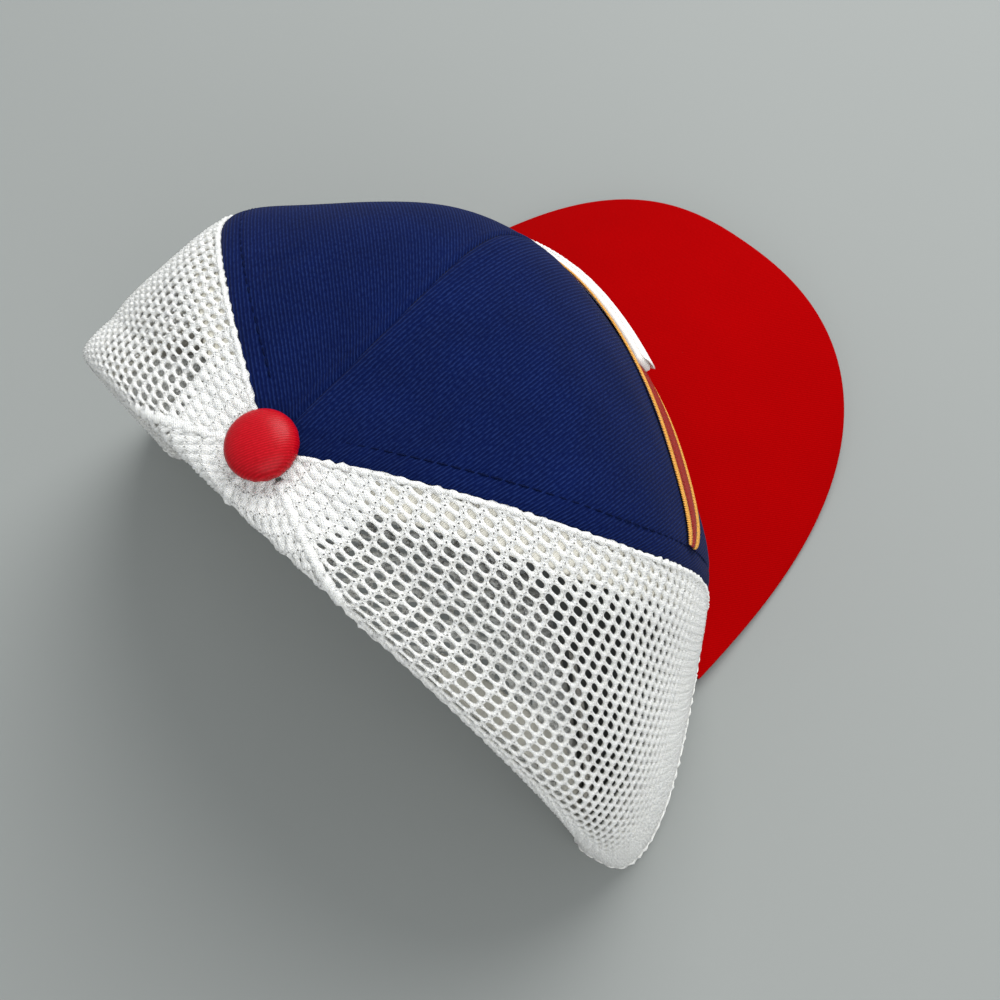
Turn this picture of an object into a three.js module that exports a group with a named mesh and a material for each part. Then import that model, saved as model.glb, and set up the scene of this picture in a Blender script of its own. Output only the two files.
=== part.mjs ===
// Trucker hat with a navy twill front, white mesh sides and back, and a curved red brim.
// Millimetres, +Z up. The front faces -Y and the wearer's left is +X.
// The back of the crown is pushed forward inside the front, so the mesh turns back on itself
// along an upright fold just behind the button. The hat stands on that fold and on its brim.

import * as THREE from "three";
import { mergeVertices } from "three/addons/utils/BufferGeometryUtils.js";

// Crown as it is worn, measured from the button's axis and the level of the rim
const crown = {
  height: 128,
  front: 95.3,
  halfWidth: 87.3,
  ovalCentreY: -5.4,
  ovalPower: 2.23,
  sideRimZ: 2.8,
  rimTurns: { from: 60, over: 40 },
  seatRadius: 4.8,
};

// How boxy the crown's outline is: 2 is an ellipse, more is squarer
const outline = {
  front: { across: 4.33, down: 2.96 },
  side: { across: 2.35, down: 2.21 },
};

// Seams, as angles round the button from the front, in degrees
const seams = { sideTop: 59, sideRim: 52.2, sideTurnsAt: 0.3, back: 115 };

// Gentle ridges and hollows of the cloth, in mm
const dents = {
  centreRidge: 1.2,
  centreRidgeWidth: 0.22,
  sideRidge: 4.6,
  sideRidgeWidth: 0.2,
  panelHollow: 2.5,
  lean: 6.2,
  leanWidth: 0.5,
  fullness: 0.7,
  startSpan: 1 / 3,
};

// The fold where the back is pushed in
const fold = {
  y: 13.8,
  hollow: 1.3,
  radiusTop: 2.4,
  radiusRim: 6.5,
  flare: 21.5,
  flareLength: 45.4,
  flareFullAt: 60,
  flareCorner: 6,
};

// Curved brim
const brim = {
  halfWidth: 86.3,
  projection: 75.6,
  power: 2.7,
  endY: -39.1,
  endAzimuth: 61,
  bend: 0.0042,
  levelAtX: 75,
  slope: 14.4,
  seatZ: -5.6,
  thickness: 3,
  edgeRound: 0.7,
  rootSpan: 0.25,
};

// Cloth and trim thicknesses, and the clearance between pieces
const wall = { twill: 1.8, mesh: 1.2, tape: 0.8, sweatband: 1.5, strap: 1.4, stitching: 0.9, padding: 2 };
const gap = 0.3;
const under = { mesh: wall.mesh + gap, twill: wall.twill + 2 * gap };

// Trim sizes
const tape = {
  side: { edges: [-4, 9], start: 0.1 },
  back: { edges: [-5, 5], start: 0.4 },
  centre: { edges: [-5, 5], start: 0.24, aboveArch: 0.02 },
};
const arch = { halfAngle: 31, top: 0.74 };
const sweatband = { top: 0.78, endAngle: 43 };
const strap = { top: 0.87, bottom: 0.975, halfAngle: 41 };
const button = { radius: 8.3, height: 7, shankRadius: 3.4, shankLength: 3.2, underside: 0.6 };
const band = { topZ: 82, height: 24, edge: 2.8, edgeShare: 0.3, tipHeight: 3, endMargin: 0.5, join: 0.15 };
const barEase = 0.05;
const bars = [
  { name: "emblem_bar_upper", width: 72, height: 9, z: 74 },
  { name: "emblem_bar_lower", width: 52, height: 8, z: 62 },
];

// Stance: the hat leans back on its fold, and the cloth is pressed flat where it rests
const stance = { tilt: 8.3, press: 0.8 };

const rad = Math.PI / 180;
const clamp = (x, low, high) => Math.min(Math.max(x, low), high);
const mix = (a, b, f) => a + (b - a) * f;
const smooth = (x) => clamp(x, 0, 1) ** 2 * (3 - 2 * clamp(x, 0, 1));
const range = (n) => Array.from({ length: n + 1 }, (_, i) => i / n);

// Finds where a rising function passes zero
function solve(low, high, rising) {
  for (let i = 0; i < 34; i++) {
    const middle = (low + high) / 2;
    if (rising(middle) < 0) low = middle;
    else high = middle;
  }
  return (low + high) / 2;
}

// Height of the brim's upper face, which the front of the rim follows
function brimZ(x, y) {
  const fall = Math.tan(brim.slope * rad) * (-y - crown.front);
  return brim.seatZ - brim.bend * (x * x - brim.levelAtX ** 2) - fall;
}

// Distance from the button's axis to the rim at an angle from the front
function rimRadius(azimuth) {
  const halfLength = crown.front + crown.ovalCentreY;
  return solve(0, 200, (r) => {
    const across = Math.abs((r * Math.sin(azimuth)) / crown.halfWidth);
    const along = Math.abs((-r * Math.cos(azimuth) - crown.ovalCentreY) / halfLength);
    return across ** crown.ovalPower + along ** crown.ovalPower - 1;
  });
}

// One point of an upright outline through the button: v is 0 at the button and 1 at the rim
function outlineAt(azimuth, v) {
  const frontness = Math.max(Math.cos(azimuth), 0);
  const across = mix(outline.side.across, outline.front.across, frontness);
  const down = mix(outline.side.down, outline.front.down, frontness);
  const angle = (v * Math.PI) / 2;
  const a = Math.sin(angle) ** across;
  const b = Math.max(Math.cos(angle), 0) ** down;
  return {
    reach: Math.sin(angle) / (a + b) ** (1 / across),
    rise: Math.max(Math.cos(angle), 0) / (a + b) ** (1 / down),
    way: (2 / Math.PI) * Math.asin(Math.sqrt(a / (a + b))),
  };
}

// Angle of the seam between front and side panels
function sideSeam(way) {
  const turn = smooth((way - seams.sideTurnsAt) / (1 - seams.sideTurnsAt));
  return mix(seams.sideTop, seams.sideRim, turn) * rad;
}

// Outer face of the crown before the back is pushed in
function wornPoint(azimuth, v) {
  const turn = Math.abs(azimuth);
  const radius = rimRadius(azimuth);
  const { reach, rise, way } = outlineAt(azimuth, v);
  const seam = sideSeam(way);
  const belly = Math.sin(Math.PI * clamp(way, 0, 1));
  const ridge =
    dents.centreRidge * Math.exp(-((turn / dents.centreRidgeWidth) ** 2)) +
    dents.sideRidge * Math.exp(-(((turn - seam) / dents.sideRidgeWidth) ** 2)) -
    dents.panelHollow * Math.sin(Math.PI * clamp(turn / seam, 0, 1)) ** 2;
  const r = radius * reach + ridge * belly ** dents.fullness * clamp(way / dents.startSpan, 0, 1);
  const y = -r * Math.cos(azimuth);
  const width = r * Math.sin(azimuth);
  const nearFold = Math.exp(-(((y - fold.y) / fold.flareLength) ** 2));
  const share = width / fold.flareFullAt;
  const levelled = share / (1 + share ** fold.flareCorner) ** (1 / fold.flareCorner);
  const flare = fold.flare * reach * nearFold * levelled;
  const lean = dents.lean * Math.exp(-((turn / dents.leanWidth) ** 2)) * belly ** 2;
  const frontRim = brimZ(radius * Math.sin(azimuth), -radius * Math.cos(azimuth)) - brim.thickness + gap;
  const sideways = smooth((turn / rad - crown.rimTurns.from) / crown.rimTurns.over);
  const rimZ = mix(frontRim, crown.sideRimZ, sideways);
  return new THREE.Vector3(width + flare + lean, y, rimZ + (crown.height - rimZ) * rise);
}

// Unit normal of a surface, pointing out of the crown
function normalOf(surface, azimuth, v) {
  const step = 0.002;
  const low = Math.max(v - step, 0.001);
  const high = Math.min(v + step, 1);
  const down = surface(azimuth, high).sub(surface(azimuth, low));
  const round = surface(azimuth + step, v).sub(surface(azimuth - step, v));
  return down.cross(round).normalize();
}

const foldRadius = (v) => mix(fold.radiusTop, fold.radiusRim, v ** 2);
const foldPlane = (v) => fold.y - fold.hollow * Math.sin(Math.PI * v) ** 2 + foldRadius(v);

// Outer face of the crown with the back pushed in: what lies behind the fold is mirrored,
// and the two layers part by twice the fold's radius
function crownPoint(azimuth, v) {
  const worn = wornPoint(azimuth, v);
  const radius = foldRadius(v);
  const behind = worn.y - foldPlane(v);
  const away = Math.hypot(behind, radius);
  const sink = radius * (1 + behind / away);
  const moved = worn.clone().addScaledVector(normalOf(wornPoint, azimuth, v), -sink);
  moved.y = foldPlane(v) - away - (behind / away) * (moved.y - worn.y);
  return moved;
}

const clothPoint = (azimuth, v, depth) =>
  crownPoint(azimuth, v).addScaledVector(normalOf(crownPoint, azimuth, v), -depth);

// Angle or height at which the worn crown passes a distance behind the button
const azimuthAtY = (v, y) => solve(60 * rad, 180 * rad, (azimuth) => wornPoint(azimuth, v).y - y);
const vAtY = (azimuth, y) => solve(0.01, 1, (v) => wornPoint(azimuth, v).y - y(v));

const seatV = (azimuth) => ((2 / Math.PI) * crown.seatRadius) / rimRadius(azimuth);
const radiusAt = (azimuth, v) => rimRadius(azimuth) * outlineAt(azimuth, v).reach;
const angleOf = (length, azimuth, v) => length / radiusAt(azimuth, v);

// Places across the fold, in fold radii, where the cloth is given a row of points
const foldRows = [-3, -1.4, -0.6, 0, 0.6, 1.4, 3];

// Closed body between two grids of points with the same rows and columns
function slab(outer, inner) {
  const rows = outer.length - 1;
  const columns = outer[0].length - 1;
  const positions = [];
  const quad = (a, b, c, d) => {
    for (const triangle of [[a, b, c], [a, c, d]]) {
      const area = new THREE.Triangle(...triangle).getArea();
      if (area > 1e-4) for (const p of triangle) positions.push(p.x, p.y, p.z);
    }
  };
  for (let i = 0; i < rows; i++) {
    for (let j = 0; j < columns; j++) {
      quad(outer[i][j], outer[i + 1][j], outer[i + 1][j + 1], outer[i][j + 1]);
      quad(inner[i][j], inner[i][j + 1], inner[i + 1][j + 1], inner[i + 1][j]);
    }
    quad(outer[i][0], inner[i][0], inner[i + 1][0], outer[i + 1][0]);
    quad(outer[i][columns], outer[i + 1][columns], inner[i + 1][columns], inner[i][columns]);
  }
  for (let j = 0; j < columns; j++) {
    quad(outer[0][j], outer[0][j + 1], inner[0][j + 1], inner[0][j]);
    quad(outer[rows][j], inner[rows][j], inner[rows][j + 1], outer[rows][j + 1]);
  }
  const geometry = new THREE.BufferGeometry();
  geometry.setAttribute("position", new THREE.Float32BufferAttribute(positions, 3));
  return mergeVertices(geometry, 1e-4);
}

// Cloth laid on the crown: a table of rows, each a list of [azimuth, v], between two depths
function cloth(rows, outerDepth, thickness) {
  const layer = (depth) => rows.map((row) => row.map(([azimuth, v]) => clothPoint(azimuth, v, depth)));
  return slab(layer(outerDepth), layer(outerDepth + thickness));
}

// Navy front panel, from the centre seam to the side seam
function frontPanel() {
  return range(15).map((down) =>
    [0, 0.13, 0.27, 0.41, 0.54, 0.66, 0.76, 0.85, 0.93, 1].map((across) => {
      const limit = seams.sideTop * rad * across;
      const v = mix(seatV(limit), 1, down);
      const { way } = outlineAt(limit, v);
      const first = angleOf(gap / 2, 0, v);
      const last = sideSeam(way) - angleOf(gap / 2, limit, v);
      return [mix(first, last, across), v];
    })
  );
}

// White mesh side panel, from the side seam round the fold to the back seam
function sideMesh() {
  return range(17).map((down) => {
    const v = mix(seatV(seams.back * rad), 1, down);
    const { way } = outlineAt(seams.sideTop * rad, v);
    const first = sideSeam(way) + angleOf(gap / 2, seams.sideTop * rad, v);
    const last = seams.back * rad - angleOf(gap, seams.back * rad, v);
    const turns = foldRows.map((k) => azimuthAtY(v, foldPlane(v) + k * foldRadius(v)));
    const before = range(8).slice(0, -1).map((f) => mix(first, Math.min(turns[0], last), f));
    const after = range(4).slice(1).map((f) => mix(Math.min(turns.at(-1), last), last, f));
    return [...before, ...turns, ...after].map((azimuth) => [clamp(azimuth, first, last), v]);
  });
}

// Lowest point of a back panel, which rises over the arch above the strap
function backEnd(azimuth) {
  const fromCentre = Math.min((180 - Math.abs(azimuth) / rad) / arch.halfAngle, 1);
  return 1 - (1 - arch.top) * Math.sqrt(1 - fromCentre ** 2);
}

// White mesh back panel, from the back seam to the middle, inside the front
function backMesh() {
  const columns = [0, 0.14, 0.28, 0.41, 0.52, 0.58, 0.68, 0.79, 0.9, 1].map((across) => {
    const azimuth = mix(seams.back, 180, across) * rad;
    const start = seatV(azimuth);
    const end = backEnd(azimuth);
    const turns = foldRows.map((k) => vAtY(azimuth, (v) => foldPlane(v) + k * foldRadius(v)));
    const before = [start, mix(start, turns[0], 0.5)];
    const after = range(11).slice(1).map((f) => mix(turns.at(-1), end, f));
    return [...before, ...turns, ...after].map((v) => {
      const edge = angleOf(gap / 2, azimuth, v);
      return [clamp(azimuth, seams.back * rad + edge, Math.PI - edge), v];
    });
  });
  return columns[0].map((_, i) => columns.map((column) => column[i]));
}

// Tape along a seam: its edges lie at two distances from the seam, measured round the crown
function seamTape(seamAt, { edges, start }, end) {
  return range(12).map((down) => {
    const v = mix(start, end, down);
    const seam = seamAt(v);
    const [first, last] = edges.map((edge) => seam + angleOf(edge, seam, v));
    return range(2).map((across) => [mix(first, last, across), v]);
  });
}

const sideTape = () => seamTape((v) => sideSeam(outlineAt(seams.sideTop * rad, v).way), tape.side, 1);
const backTape = () => seamTape(() => seams.back * rad, tape.back, 1);
const centreTape = () => seamTape(() => Math.PI, tape.centre, arch.top - tape.centre.aboveArch);

// Sweatband inside the rim, which turns with the cloth at both folds and ends at the arch
function sweatbandStrip() {
  const depth = under.twill + wall.tape + gap;
  const rows = range(3).map((down) => {
    const v = mix(sweatband.top, 1, down);
    const turns = foldRows.map((k) => azimuthAtY(v, foldPlane(v) + k * foldRadius(v)));
    const last = (180 - sweatband.endAngle) * rad;
    const after = range(4).slice(1).map((f) => mix(turns.at(-1), last, f));
    const front = range(9).slice(1, -1).map((f) => mix(0, turns[0], f));
    const half = [...front, ...turns, ...after];
    return [...half.map((a) => -a).reverse(), 0, ...half].map((azimuth) => [azimuth, v]);
  });
  return cloth(rows, depth, wall.sweatband);
}

// Plain strap across the arch, sewn behind the edges of the back panels
function closureStrap() {
  const rows = range(2).map((down) => {
    const v = mix(strap.top, strap.bottom, down);
    return range(12).map((across) => [Math.PI + mix(-1, 1, across) * strap.halfAngle * rad, v]);
  });
  return cloth(rows, under.mesh, wall.strap);
}

// Outline of the button above its underside, as shares of its radius and height
const domeOutline = [
  { out: 0.86, up: 0.1 },
  { out: 0.98, up: 0.22 },
  { out: 1, up: 0.37 },
  { out: 0.95, up: 0.56 },
  { out: 0.78, up: 0.78 },
  { out: 0.45, up: 0.94 },
  { out: 0, up: 1 },
];

// Red button: a covered dome on a short shank that passes between the panels
function buttonDome() {
  const profile = [
    new THREE.Vector2(0, -button.shankLength),
    new THREE.Vector2(button.shankRadius, -button.shankLength),
    new THREE.Vector2(button.shankRadius, button.underside),
    ...domeOutline.map(({ out, up }) => new THREE.Vector2(button.radius * out, button.height * up)),
  ];
  const geometry = new THREE.LatheGeometry(profile, 20);
  geometry.rotateX(Math.PI / 2);
  geometry.translate(0, 0, crown.height);
  geometry.deleteAttribute("normal");
  geometry.deleteAttribute("uv");
  return mergeVertices(geometry, 1e-4);
}

// Brim: its inner edge follows the crown and its outer edge is a squarish oval
function brimBoard() {
  const far = -(crown.front + brim.projection);
  const end = clothPoint(brim.endAzimuth * rad, 1, -gap);
  const endBulge = (end.y - brim.endY) / (far - brim.endY);
  const endAngle = Math.acos(endBulge ** (brim.power / 2));
  const point = (side, out, depth) => {
    const inner = clothPoint(side * brim.endAzimuth * rad, 1, -gap);
    const angle = side * endAngle;
    const edgeX = brim.halfWidth * Math.sign(angle) * Math.abs(Math.sin(angle)) ** (2 / brim.power);
    const edgeY = mix(brim.endY, far, Math.cos(angle) ** (2 / brim.power));
    const x = mix(inner.x, edgeX, out);
    const y = mix(inner.y, edgeY, out);
    const tip = smooth(out / brim.rootSpan);
    const across = 2 * brim.bend * x * tip;
    const along = -Math.tan(brim.slope * rad) * tip;
    const normal = new THREE.Vector3(across, along, 1).normalize();
    return new THREE.Vector3(x, y, brimZ(x, y)).addScaledVector(normal, -depth);
  };
  // Steps from side to side, closer together towards the two ends
  const crowding = 0.4 * Math.PI;
  const sides = range(32).map((f) => Math.sin(mix(-1, 1, f) * crowding) / Math.sin(crowding));
  const steps = [0, 0.2, 0.4, 0.6, 0.8, 0.93, 0.985, 1];
  const layer = (depth, edgeDepth) =>
    steps.map((out) => sides.map((side) => point(side, out, out === 1 ? edgeDepth : depth)));
  return slab(layer(0, brim.edgeRound), layer(brim.thickness, brim.thickness - brim.edgeRound));
}

// Height on the front where a strip lies: finds v at a level
const vAtZ = (azimuth, z) => solve(0.2, 1, (v) => z - wornPoint(azimuth, v).z);

// Stitched strip across both front panels, between two drops below the band's top edge.
// The band's top is level and its lower edge bows down between the side seams.
function bandStrip(dropsAt) {
  const columns = range(26).map((across) => {
    const side = mix(-1, 1, across);
    const azimuth = side * (seams.sideRim + band.endMargin) * rad;
    const height = mix(band.tipHeight, band.height, Math.sqrt(1 - side ** 2));
    const [from, to] = dropsAt(height, Math.min(band.edge, height * band.edgeShare));
    return [0, 0.5, 1].map((down) => [azimuth, vAtZ(azimuth, band.topZ - mix(from, to, down))]);
  });
  const rows = columns[0].map((_, i) => columns.map((column) => column[i]));
  return cloth(rows, -gap - wall.stitching, wall.stitching);
}

// Raised bar stitched over padding, with its long edges level and its corners eased
function emblemBar({ width, height, z }) {
  const halfAngle = width / 2 / crown.front;
  const rows = [-1, -0.72, 0, 0.72, 1].map((up) =>
    range(12).map((across) => {
      const azimuth = mix(-1, 1, across) * halfAngle * (1 - barEase * Math.abs(up) ** 3);
      return [azimuth, vAtZ(azimuth, z - (up * height) / 2)];
    })
  );
  const base = gap + wall.stitching + 2 * gap;
  return cloth(rows, -base - wall.padding, wall.padding);
}

// The same rows on the wearer's right
const toRight = (rows) => rows.map((row) => row.map(([azimuth, v]) => [-azimuth, v]).reverse());

const finish = (color, roughness) => new THREE.MeshStandardMaterial({ color, roughness, metalness: 0 });
const finishes = {
  navyTwill: finish(0x1b3a7a, 0.85),
  whiteMesh: finish(0xe9eae8, 0.8),
  whiteTape: finish(0xe6e3d8, 0.9),
  redTwill: finish(0xc4101b, 0.8),
  greyBand: finish(0xcbc7bf, 0.9),
  clearWhitePlastic: finish(0xdedfe0, 0.45),
  goldThread: finish(0xd9962f, 0.55),
  darkRedThread: finish(0x9c2417, 0.6),
  whiteThread: finish(0xf0efec, 0.55),
};

const hat = new THREE.Group();
hat.name = "trucker_hat";
const body = new THREE.Group();
hat.add(body);

function add(name, geometry, material) {
  const mesh = new THREE.Mesh(geometry, material);
  mesh.name = name;
  body.add(mesh);
}

function addPair(name, rows, depth, thickness, material) {
  add(`${name}_left`, cloth(rows, depth, thickness), material);
  add(`${name}_right`, cloth(toRight(rows), depth, thickness), material);
}

addPair("front_panel", frontPanel(), 0, wall.twill, finishes.navyTwill);
addPair("side_mesh", sideMesh(), 0, wall.mesh, finishes.whiteMesh);
addPair("back_mesh", backMesh(), 0, wall.mesh, finishes.whiteMesh);
addPair("side_tape", sideTape(), under.twill, wall.tape, finishes.whiteTape);
addPair("back_tape", backTape(), under.mesh, wall.tape, finishes.whiteTape);
add("centre_tape", cloth(centreTape(), under.mesh, wall.tape), finishes.whiteTape);
add("sweatband", sweatbandStrip(), finishes.greyBand);
add("closure_strap", closureStrap(), finishes.clearWhitePlastic);
add("button", buttonDome(), finishes.redTwill);
add("brim", brimBoard(), finishes.redTwill);

const upperEdge = (height, edge) => [0, edge - band.join];
const centre = (height, edge) => [edge + band.join, height - edge - band.join];
const lowerEdge = (height, edge) => [height - edge + band.join, height];
add("band_upper_edge", bandStrip(upperEdge), finishes.goldThread);
add("band_centre", bandStrip(centre), finishes.darkRedThread);
add("band_lower_edge", bandStrip(lowerEdge), finishes.goldThread);
for (const bar of bars) add(bar.name, emblemBar(bar), finishes.whiteThread);

// Leans the hat back, presses what rests flat, and sets the origin under the middle of its box
body.rotation.x = -stance.tilt * rad;
hat.updateMatrixWorld(true);
const floor = new THREE.Box3().setFromObject(hat, true).min.z + stance.press;
const upward = new THREE.Vector3(0, 0, 1).applyQuaternion(body.quaternion.clone().invert());
for (const mesh of body.children) {
  const points = mesh.geometry.getAttribute("position");
  for (let i = 0; i < points.count; i++) {
    const p = new THREE.Vector3().fromBufferAttribute(points, i);
    const below = floor - p.dot(upward);
    if (below > 0) p.addScaledVector(upward, below);
    points.setXYZ(i, p.x, p.y, p.z);
  }
  mesh.geometry.computeVertexNormals();
}
const box = new THREE.Box3().setFromObject(hat, true);
body.position.set(-(box.min.x + box.max.x) / 2, -(box.min.y + box.max.y) / 2, -box.min.z);

export default hat;
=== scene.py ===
"""Looks of a trucker hat: navy twill front, white mesh sides and back, red curved brim.

The back half of the crown is pushed forward inside the front, as in the frame.
Flat patterns, such as the net and the stitches, are made by Geometry Nodes in millimetres
and then laid on the crown, so every hole and thread follows the cloth.
"""

import math
from types import SimpleNamespace

import bmesh
import bpy
import numpy as np
from mathutils import Matrix, Vector


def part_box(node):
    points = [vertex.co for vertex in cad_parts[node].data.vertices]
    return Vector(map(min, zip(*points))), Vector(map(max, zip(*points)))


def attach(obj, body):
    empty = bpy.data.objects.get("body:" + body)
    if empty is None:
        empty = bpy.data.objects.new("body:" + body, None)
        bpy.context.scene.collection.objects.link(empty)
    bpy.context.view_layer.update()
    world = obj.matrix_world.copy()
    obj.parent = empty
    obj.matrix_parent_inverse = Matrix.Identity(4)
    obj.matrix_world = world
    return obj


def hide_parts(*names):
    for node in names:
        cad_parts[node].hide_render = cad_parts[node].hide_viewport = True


bl_info = {
    "name": "Trucker Hat",
    "version": (1, 0, 0),
    "blender": (4, 5, 0),
    "location": "3D View > Sidebar > Hat",
    "description": "Builds the cloth, net, stitching and trim of a trucker hat",
    "category": "Object",
}

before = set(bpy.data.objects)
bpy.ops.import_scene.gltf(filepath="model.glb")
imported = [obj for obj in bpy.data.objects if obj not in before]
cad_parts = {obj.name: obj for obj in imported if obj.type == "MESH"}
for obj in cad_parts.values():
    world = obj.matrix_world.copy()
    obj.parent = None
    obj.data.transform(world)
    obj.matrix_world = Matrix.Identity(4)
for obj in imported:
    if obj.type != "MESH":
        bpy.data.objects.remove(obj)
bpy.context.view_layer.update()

# Shape of the crown in mm, measured as worn, from the button's axis and the level of the rim
CROWN = {
    "height": 128, "front": 95.3, "half_width": 87.3, "centre_y": -5.4, "power": 2.23,
    "side_rim_z": 2.8, "rim_turns_from": 60, "rim_turns_over": 40, "seat": 4.8,
}
# How boxy the crown's outline is: 2 is an ellipse, more is squarer
OUTLINE = {"front_across": 4.33, "front_down": 2.96, "side_across": 2.35, "side_down": 2.21}
# Seams, as angles round the button from the front, in degrees
SEAM = {"side_top": 59, "side_rim": 52.2, "turns_at": 0.3, "back": 115}
# Gentle ridges and hollows of the cloth
DENT = {
    "centre": 1.2, "centre_width": 0.22, "side": 4.6, "side_width": 0.2, "hollow": 2.5,
    "lean": 6.2, "lean_width": 0.5, "fullness": 0.7, "start_rate": 3,
}
# The fold where the back is pushed in
FOLD = {
    "y": 13.8, "hollow": 1.3, "top": 2.4, "rim": 6.5,
    "flare": 21.5, "flare_length": 45.4, "flare_full": 60, "flare_corner": 6,
}
BRIM = {
    "half_width": 86.3, "projection": 75.6, "power": 2.7, "end_y": -39.1, "end_azimuth": 61,
    "root_span": 0.25, "bend": 0.0042, "level_x": 75, "slope": 14.4, "seat_z": -5.6,
    "thickness": 3, "edge_round": 0.7,
}
BUTTON = {"radius": 8.3, "height": 7, "edge_z": 2.5, "shank_radius": 3.4, "shank_length": 3.2, "gathers": 18}
ARCH = {"half_angle": 31, "top": 0.74}
BAND = {
    "top_z": 82, "height": 24, "edge": 2.8, "edge_share": 0.3, "tip_height": 3,
    "end_margin": 0.5, "join": 0.15,
}
BARS = (
    {"name": "upper", "width": 72, "height": 9, "z": 74},
    {"name": "lower", "width": 52, "height": 8, "z": 62},
)
BAR_EASE = 0.05
# Tapes start at a share of the way from button to rim
TAPE = {
    "side_edges": (-4, 9), "side_start": 0.1, "back_edges": (-5, 5), "back_start": 0.4,
    "centre_start": 0.24, "above_arch": 0.02,
}
SWEATBAND = {"end_angle": 43, "stitch_inset": 0.02}
STRAP = {"top": 0.87, "bottom": 0.975, "half_angle": 41, "studs": 9, "studded_share": 0.62, "stud": 3.4}
TILT = math.radians(8.3)
WALL = {
    "twill": 1.8, "mesh": 1.2, "tape": 0.8, "sweatband": 1.5, "strap": 1.4, "stitching": 0.9, "padding": 2,
}
GAP = 0.3
UNDER_MESH = WALL["mesh"] + GAP
UNDER_TWILL = WALL["twill"] + 2 * GAP
MM = 0.001


# Crown as a surface

def mix(a, b, share):
    return a + (b - a) * share


def smooth(x):
    x = np.clip(x, 0, 1)
    return x * x * (3 - 2 * x)


def solve(low, high, rising, rounds=34):
    """Where a rising function of an array passes zero, by halving."""
    low, high = np.asarray(low, float), np.asarray(high, float)
    for _ in range(rounds):
        middle = (low + high) / 2
        less = rising(middle) < 0
        low, high = np.where(less, middle, low), np.where(less, high, middle)
    return (low + high) / 2


def brim_z(x, y):
    """Height of the brim's upper face, which the front of the rim follows."""
    fall = math.tan(math.radians(BRIM["slope"])) * (-y - CROWN["front"])
    return BRIM["seat_z"] - BRIM["bend"] * (x * x - BRIM["level_x"] ** 2) - fall


def rim_radius_at(azimuth):
    half_length = CROWN["front"] + CROWN["centre_y"]

    def outside(r):
        across = np.abs(r * np.sin(azimuth) / CROWN["half_width"])
        along = np.abs((-r * np.cos(azimuth) - CROWN["centre_y"]) / half_length)
        return across ** CROWN["power"] + along ** CROWN["power"] - 1

    return solve(np.zeros_like(azimuth), np.full_like(azimuth, 200.0), outside)


RIM_AZIMUTHS = np.linspace(-3.6, 3.6, 14401)
RIM_RADII = rim_radius_at(RIM_AZIMUTHS)


def rim_radius(azimuth):
    return np.interp(azimuth, RIM_AZIMUTHS, RIM_RADII)


def outline_at(azimuth, v):
    """Reach, rise and way of one point of an upright outline; v is 0 at the button and 1 at the rim."""
    frontness = np.maximum(np.cos(azimuth), 0)
    p = mix(OUTLINE["side_across"], OUTLINE["front_across"], frontness)
    q = mix(OUTLINE["side_down"], OUTLINE["front_down"], frontness)
    sine, cosine = np.sin(v * math.pi / 2), np.maximum(np.cos(v * math.pi / 2), 0)
    a, b = sine**p, cosine**q
    way = 2 / math.pi * np.arcsin(np.sqrt(a / (a + b)))
    return sine / (a + b) ** (1 / p), cosine / (a + b) ** (1 / q), way


def side_seam(way):
    """Azimuth of the front seam where an outline has gone a share of its way from button to rim."""
    turn = smooth((way - SEAM["turns_at"]) / (1 - SEAM["turns_at"]))
    return np.radians(mix(SEAM["side_top"], SEAM["side_rim"], turn))


def front_seam(v):
    return side_seam(outline_at(math.radians(SEAM["side_top"]), v)[2])


def worn(azimuth, v):
    """Outer face of the crown before the back is pushed in."""
    turn = np.abs(azimuth)
    radius = rim_radius(azimuth)
    reach, rise, way = outline_at(azimuth, v)
    seam = side_seam(way)
    belly = np.maximum(np.sin(math.pi * np.clip(way, 0, 1)), 0)
    ridge = (
        DENT["centre"] * np.exp(-((turn / DENT["centre_width"]) ** 2))
        + DENT["side"] * np.exp(-(((turn - seam) / DENT["side_width"]) ** 2))
        - DENT["hollow"] * np.sin(math.pi * np.clip(turn / seam, 0, 1)) ** 2
    )
    r = radius * reach + ridge * belly ** DENT["fullness"] * np.clip(way * DENT["start_rate"], 0, 1)
    y, width = -r * np.cos(azimuth), r * np.sin(azimuth)
    share, corner = width / FOLD["flare_full"], FOLD["flare_corner"]
    near_fold = np.exp(-(((y - FOLD["y"]) / FOLD["flare_length"]) ** 2))
    flare = FOLD["flare"] * reach * near_fold * share / (1 + share**corner) ** (1 / corner)
    lean = DENT["lean"] * np.exp(-((turn / DENT["lean_width"]) ** 2)) * belly**2
    front_rim = brim_z(radius * np.sin(azimuth), -radius * np.cos(azimuth)) - BRIM["thickness"] + GAP
    sideways = smooth((np.degrees(turn) - CROWN["rim_turns_from"]) / CROWN["rim_turns_over"])
    rim_z = mix(front_rim, CROWN["side_rim_z"], sideways)
    return np.stack([width + flare + lean, y, rim_z + (CROWN["height"] - rim_z) * rise], -1)


def normal_of(surface, azimuth, v):
    step = 0.002
    down = surface(azimuth, np.minimum(v + step, 1)) - surface(azimuth, np.maximum(v - step, 0.001))
    around = surface(azimuth + step, v) - surface(azimuth - step, v)
    normal = np.cross(down, around)
    return normal / np.linalg.norm(normal, axis=-1, keepdims=True)


def folded(azimuth, v):
    """Outer face of the crown with the back pushed in: what lies behind the fold is mirrored."""
    point = worn(azimuth, v)
    radius = mix(FOLD["top"], FOLD["rim"], v**2)
    plane = FOLD["y"] - FOLD["hollow"] * np.sin(math.pi * v) ** 2 + radius
    behind = point[..., 1] - plane
    away = np.hypot(behind, radius)
    sink = radius * (1 + behind / away)
    moved = point - normal_of(worn, azimuth, v) * sink[..., None]
    moved[..., 1] = plane - away - behind / away * (moved[..., 1] - point[..., 1])
    return moved


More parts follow.
